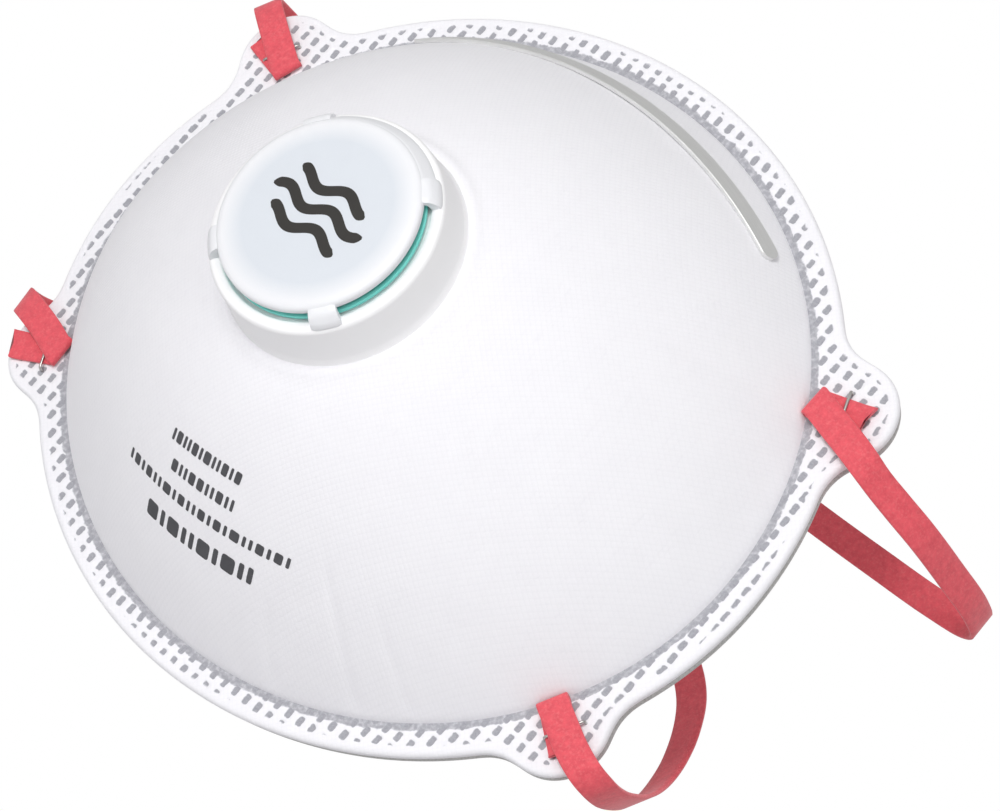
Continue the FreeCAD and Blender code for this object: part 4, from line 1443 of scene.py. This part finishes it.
stamp_mesh = bpy.data.meshes.new("cup_marks")
stamp_mesh.from_pydata(places.tolist(), [], [])
cup_marks = bpy.data.objects.new("cup_marks", stamp_mesh)
bpy.context.scene.collection.objects.link(cup_marks)
facing = stamp_mesh.attributes.new("facing", "FLOAT_VECTOR", "POINT")
facing.data.foreach_set("vector", normals.astype(np.float32).ravel())
set_attribute(cup_marks, "bar_length", lengths)
set_attribute(cup_marks, "bar_height", thick)
bar = make_bar()
run_tree(cup_marks, make_bar_tree(), {"Bar": bar, "Finish": CUP_INK})
bpy.data.objects.remove(bar)
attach(cup_marks, "mask")
print("stamped bars:", len(lengths))

# %% [markdown]
# ## Staples
# Four wire staples hold the bands. They are one shape set down four times with a different lean,
# so the wire is swept once and a Geometry Nodes tree places it on four points.

# %% Geometry Nodes: four staples
STAPLES = (
    # x, z and lean from upright, towards +X
    (-64.3, 30.5, 33.0), (64.3, 30.5, -21.0), (-60.0, -35.2, -27.0), (62.0, -34.6, 32.0),
)
STAPLE_LENGTH, WIRE, WIRE_BEND = 7.2 * MM, 0.5 * MM, 0.45 * MM
CROWN_RISE, CLINCH_RISE, CLINCH = 1.2 * MM, -2.3 * MM, 2.4 * MM


def make_staple_wire():
    """One staple at the origin: crown along Z, legs along Y into the webs, ends turned in."""
    half, top, bottom = (STAPLE_LENGTH - WIRE) / 2, CROWN_RISE - WIRE / 2, CLINCH_RISE + WIRE / 2
    corners = np.array([
        (-half + CLINCH, bottom), (-half, bottom), (-half, top), (half, top), (half, bottom),
        (half - CLINCH, bottom)])
    path = [corners[0]]
    for before, corner, after in zip(corners, corners[1:], corners[2:]):
        path += corner_arc(before, corner, after, WIRE_BEND, 4)
    path = np.array([*path, corners[-1]])
    centres = np.stack([np.zeros(len(path)), -path[:, 1], path[:, 0]], 1)
    along = along_path(centres)
    side = np.tile(np.array([1.0, 0, 0]), (len(path), 1))
    through = unit(np.cross(along, side))
    section = [(math.cos(turn), math.sin(turn) * 0.86) for turn in full_turn(10)]
    rings = strip_rings(centres, side * WIRE / 2, through, WIRE, section)
    return add_piece("staple_wire_shape", *skin(rings))


def make_staple_tree():
    """The staple on each point, leaned over by the point's own angle."""
    tree, start, end = geometry_tree(
        "set_staples", [("Staple", "NodeSocketObject"), ("Finish", "NodeSocketMaterial")])
    shape = tree.nodes.new("GeometryNodeObjectInfo")
    tree.links.new(start.outputs["Staple"], shape.inputs["Object"])
    turn = tree.nodes.new("ShaderNodeCombineXYZ")
    tree.links.new(named_value(tree, "lean"), turn.inputs["Y"])
    place = tree.nodes.new("GeometryNodeInstanceOnPoints")
    tree.links.new(start.outputs["Geometry"], place.inputs["Points"])
    tree.links.new(shape.outputs["Geometry"], place.inputs["Instance"])
    rotate = tree.nodes.new("FunctionNodeEulerToRotation")
    tree.links.new(turn.outputs[0], rotate.inputs[0])
    tree.links.new(rotate.outputs[0], place.inputs["Rotation"])
    finish_tree(tree, start, end, place.outputs[0], "Finish")
    return tree


staple_mesh = bpy.data.meshes.new("staples")
staple_mesh.from_pydata([(x * MM, FLANGE_FRONT, z * MM) for x, z, _ in STAPLES], [], [])
staples = bpy.data.objects.new("staples", staple_mesh)
bpy.context.scene.collection.objects.link(staples)
set_attribute(staples, "lean", [math.radians(lean) for _, _, lean in STAPLES])
wire_shape = make_staple_wire()
run_tree(staples, make_staple_tree(), {"Staple": wire_shape, "Finish": STAPLE_WIRE})
bpy.data.objects.remove(wire_shape)
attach(staples, "mask")
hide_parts("staple_upper_left", "staple_upper_right", "staple_lower_left", "staple_lower_right")
print("staples:", len(STAPLES))

# %% [markdown]
# ## Elastic bands
# Each band is one strip of elastic. Its end lies flat on the ear under the staple, folds back on
# itself along a slanted crease, crosses over the staple, turns round the ear's edge and goes
# behind the mask to the other ear. It is made directly as a strip, because a cloth simulation
# would lose its thickness and its crisp edges. The short folded tails stay with the mask, and the
# long strip is a piece of its own.

# %% Routes of the bands
BAND_WIDTH, BAND_DEPTH = 5.2 * MM, 0.7 * MM
OVER = -5.2
OVER_Y = OVER * MM
TAIL_Y = FLANGE_FRONT - BAND_DEPTH / 2 - 0.02 * MM
UPPER_ROUTE = (
    # place in millimetres, and the direction across the strip
    ((59.8, OVER, 29.1), (0.08, 0.0, 1.0)),
    ((65.0, OVER, 27.5), (0.08, 0.0, 1.0)),
    ((70.6, OVER, 25.8), (0.08, 0.0, 1.0)),
    ((73.4, -4.2, 24.9), (0.05, 0.05, 1.0)),
    ((75.2, -2.2, 24.4), (0.0, 0.1, 1.0)),
    ((78.4, 1.3, 23.8), (0.0, 0.05, 1.0)),
    ((82.0, 6.0, 23.3), (0.0, 0.0, 1.0)),
    ((86.1, 16.1, 22.8), (0.0, 0.0, 1.0)),
    ((88.7, 25.9, 22.5), (0.0, 0.0, 1.0)),
    ((88.3, 31.6, 22.3), (0.0, 0.0, 1.0)),
    ((84.6, 35.6, 22.3), (0.0, 0.0, 1.0)),
    ((77.3, 36.6, 22.3), (0.0, 0.0, 1.0)),
    ((65.8, 36.0, 22.5), (0.0, 0.0, 1.0)),
    ((53.2, 35.4, 22.9), (0.0, 0.0, 1.0)),
    ((30.0, 36.8, 24.8), (0.1, 0.0, 1.0)),
    ((2.0, 39.0, 28.2), (0.12, 0.0, 1.0)),
    ((-27.0, 38.8, 32.0), (0.12, 0.0, 1.0)),
    ((-50.0, 34.2, 35.2), (0.15, 0.0, 1.0)),
    ((-65.0, 23.5, 37.2), (0.2, 0.1, 1.0)),
    ((-73.0, 11.0, 38.0), (0.3, 0.1, 0.95)),
    ((-75.6, 2.5, 37.7), (0.45, 0.05, 0.9)),
    ((-75.3, -1.9, 37.2), (0.55, 0.0, 0.84)),
    ((-73.5, -4.3, 36.4), (0.55, 0.0, 0.84)),
    ((-70.2, OVER, 34.4), (0.55, 0.0, 0.84)),
    ((-65.5, OVER, 31.4), (0.55, 0.0, 0.84)),
    ((-61.0, OVER, 28.6), (0.55, 0.0, 0.84)),
)
LOWER_ROUTE = (
    ((57.9, OVER, -32.4), (0.52, 0.0, 0.86)),
    ((62.0, OVER, -34.6), (0.52, 0.0, 0.86)),
    ((66.4, OVER, -36.8), (0.52, 0.0, 0.86)),
    ((69.6, -4.3, -38.0), (0.52, 0.0, 0.86)),
    ((71.2, -1.9, -38.3), (0.52, 0.05, 0.86)),
    ((71.5, 2.4, -38.0), (0.5, 0.1, 0.86)),
    ((71.0, 8.4, -36.5), (0.5, 0.1, 0.86)),
    ((69.6, 15.2, -33.8), (0.5, 0.05, 0.86)),
    ((67.4, 21.2, -29.7), (0.5, 0.0, 0.86)),
    ((64.9, 25.2, -24.4), (0.48, -0.05, 0.87)),
    ((62.0, 27.8, -19.4), (0.45, -0.05, 0.88)),
    ((58.0, 30.2, -14.4), (0.42, 0.0, 0.9)),
    ((52.4, 32.4, -10.2), (0.4, 0.0, 0.92)),
    ((41.0, 35.6, -6.2), (0.3, 0.0, 0.95)),
    ((20.0, 38.8, -4.0), (0.1, 0.0, 1.0)),
    ((-4.0, 39.2, -4.6), (-0.05, 0.0, 1.0)),
    ((-28.0, 36.2, -8.2), (-0.15, 0.0, 1.0)),
    ((-48.0, 29.6, -14.2), (-0.25, 0.0, 1.0)),
    ((-62.0, 19.6, -21.6), (-0.3, -0.1, 0.95)),
    ((-70.0, 9.2, -27.0), (-0.25, -0.15, 0.95)),
    ((-72.9, 2.2, -29.6), (-0.15, -0.1, 1.0)),
    ((-72.6, -2.0, -30.2), (-0.1, 0.0, 1.0)),
    ((-70.6, -4.3, -30.5), (-0.1, 0.0, 1.0)),
    ((-67.4, OVER, -31.1), (-0.1, 0.0, 1.0)),
    ((-62.0, OVER, -32.4), (-0.1, 0.0, 1.0)),
    ((-57.7, OVER, -33.8), (-0.1, 0.0, 1.0)),
)
BANDS = (
    # name, route, right tail's end and left tail's end (x, z)
    ("upper_band", UPPER_ROUTE, (68.6, 31.0), (-69.8, 30.9)),
    ("lower_band", LOWER_ROUTE, (64.9, -37.6), (-66.6, -37.6)),
)
print("stations:", len(UPPER_ROUTE), len(LOWER_ROUTE))

# %% [markdown]
# The crease of a folded strap lies half way between its way in and its way out. The end of the
# tail and the end of the run are both cut along that crease, so the fold closes without a step.
# The tail is flat on the flange, a half turn carries it forward, and the long strip goes on.

# %% Folded tails
TAIL_SLANT = 0.45 * MM


def crease_half(tail_direction, run_direction, facing):
    """Half of the crease, across the strip, where a tail folds back under its run."""
    crease = unit(np.cross(unit(tail_direction + run_direction), np.array([0, 1.0, 0])))
    crease = crease if crease @ facing > 0 else -crease
    square = unit(np.cross(tail_direction, np.array([0, 1.0, 0])))
    return crease * (BAND_WIDTH / 2) / abs(crease @ square)


def folded_tail(fold, tail_end, next_place, facing):
    """Tail on the flange and the half turn at its fold, as strip rings."""
    fold, next_place = np.array(fold) * MM, np.array(next_place) * MM
    end = np.array([tail_end[0] * MM, 0, tail_end[1] * MM])
    level = np.array([1.0, 0, 1.0])
    tail_direction = unit((end - fold) * level)
    run_direction = unit((next_place - fold) * level)
    crease = crease_half(tail_direction, run_direction, facing)
    square = unit(np.cross(tail_direction, np.array([0, 1.0, 0])))
    square = square if square @ facing > 0 else -square
    length = np.linalg.norm((end - fold) * level)
    centres, halves, normals = [], [], []
    for share in np.linspace(1, 0.16, 9):
        curl = TAIL_SLANT * (max(share - 0.75, 0) / 0.25) ** 2
        place = fold + tail_direction * length * share
        centres.append((place[0], TAIL_Y - curl, place[2]))
        halves.append(square * BAND_WIDTH / 2)
        normals.append((0, -1, 0))
    out = -unit(tail_direction + run_direction)
    middle, radius = (TAIL_Y + OVER_Y) / 2, (TAIL_Y - OVER_Y) / 2
    for angle in np.linspace(0, math.pi, 9):
        bulge = out * radius * math.sin(angle)
        centres.append((fold[0] + bulge[0], middle + radius * math.cos(angle), fold[2] + bulge[2]))
        halves.append(crease)
        normals.append(np.array([0, -1, 0]) * math.cos(angle) - out * math.sin(angle))
    rings = strip_rings(np.array(centres), np.array(halves), np.array(normals), BAND_DEPTH)
    slant = np.array(STRIP_SECTION)[:, 0]
    cut = TAIL_SLANT * slant - 0.5 * MM * (1 - abs(slant))
    rings[0] = rings[0] + np.outer(cut, tail_direction)
    return rings, np.array(centres), crease


print("tails fold at a crease of", round(BAND_WIDTH / MM, 1), "mm or more")

# %% [markdown]
# The long strip is one run of sections from fold to fold. Its two ends take the slant of their
# creases.

# %% Long strips
END_GAP = 1.3 * MM


def long_strip(route, first_crease, last_crease):
    """The band from fold to fold, its two ends cut along their creases."""
    stations = np.array([(*place, *across) for place, across in route], float)
    stations[:, :3] *= MM
    path = smooth_path(stations, 0.9 * MM)
    centres, across = path[:, :3], path[:, 3:]
    keep = np.ones(len(centres), bool)
    for end in (0, -1):
        near = np.linalg.norm(centres - centres[end], axis=1) < END_GAP
        near[end] = False
        keep &= ~near
    centres, across = centres[keep], across[keep]
    along = along_path(centres)
    across = unit(across - along * (across * along).sum(1)[:, None])
    normals = unit(np.cross(across, along))
    halves = across * BAND_WIDTH / 2
    halves[0] = first_crease if first_crease @ halves[0] > 0 else -first_crease
    halves[-1] = last_crease if last_crease @ halves[-1] > 0 else -last_crease
    normals[0], normals[-1] = normals[1], normals[-2]
    return strip_rings(centres, halves, normals, BAND_DEPTH), centres


def make_band(name, route, right_tail, left_tail):
    """The folded ends, which stay on the mask, and the long strip; returns its length."""
    tails, creases, uvs = [], [], []
    for station, following, tail_end in ((0, 1, right_tail), (-1, -2, left_tail)):
        facing = np.array(route[station][1])
        rings, centres, crease = folded_tail(route[station][0], tail_end, route[following][0], facing)
        tails.append(skin(rings))
        creases.append(crease)
        uvs.append(strip_uv(centres, BAND_WIDTH))
    folds = add_piece(f"{name}_folded_ends", *join(tails), BAND_ELASTIC)
    store_uv(folds, np.concatenate(uvs))
    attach(folds, "mask")
    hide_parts(f"{name}_end_left", f"{name}_end_right")
    rings, centres = long_strip(route, *creases)
    strip = add_piece(f"{name}_strip", *skin(rings), BAND_ELASTIC)
    store_uv(strip, strip_uv(centres, BAND_WIDTH))
    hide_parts(name)
    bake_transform(strip)
    return float(np.linalg.norm(np.diff(centres, axis=0), axis=1).sum())


for name, route, right_tail, left_tail in BANDS:
    length = make_band(name, route, right_tail, left_tail)
    print(name, round(length / MM, 1), "mm from fold to fold")
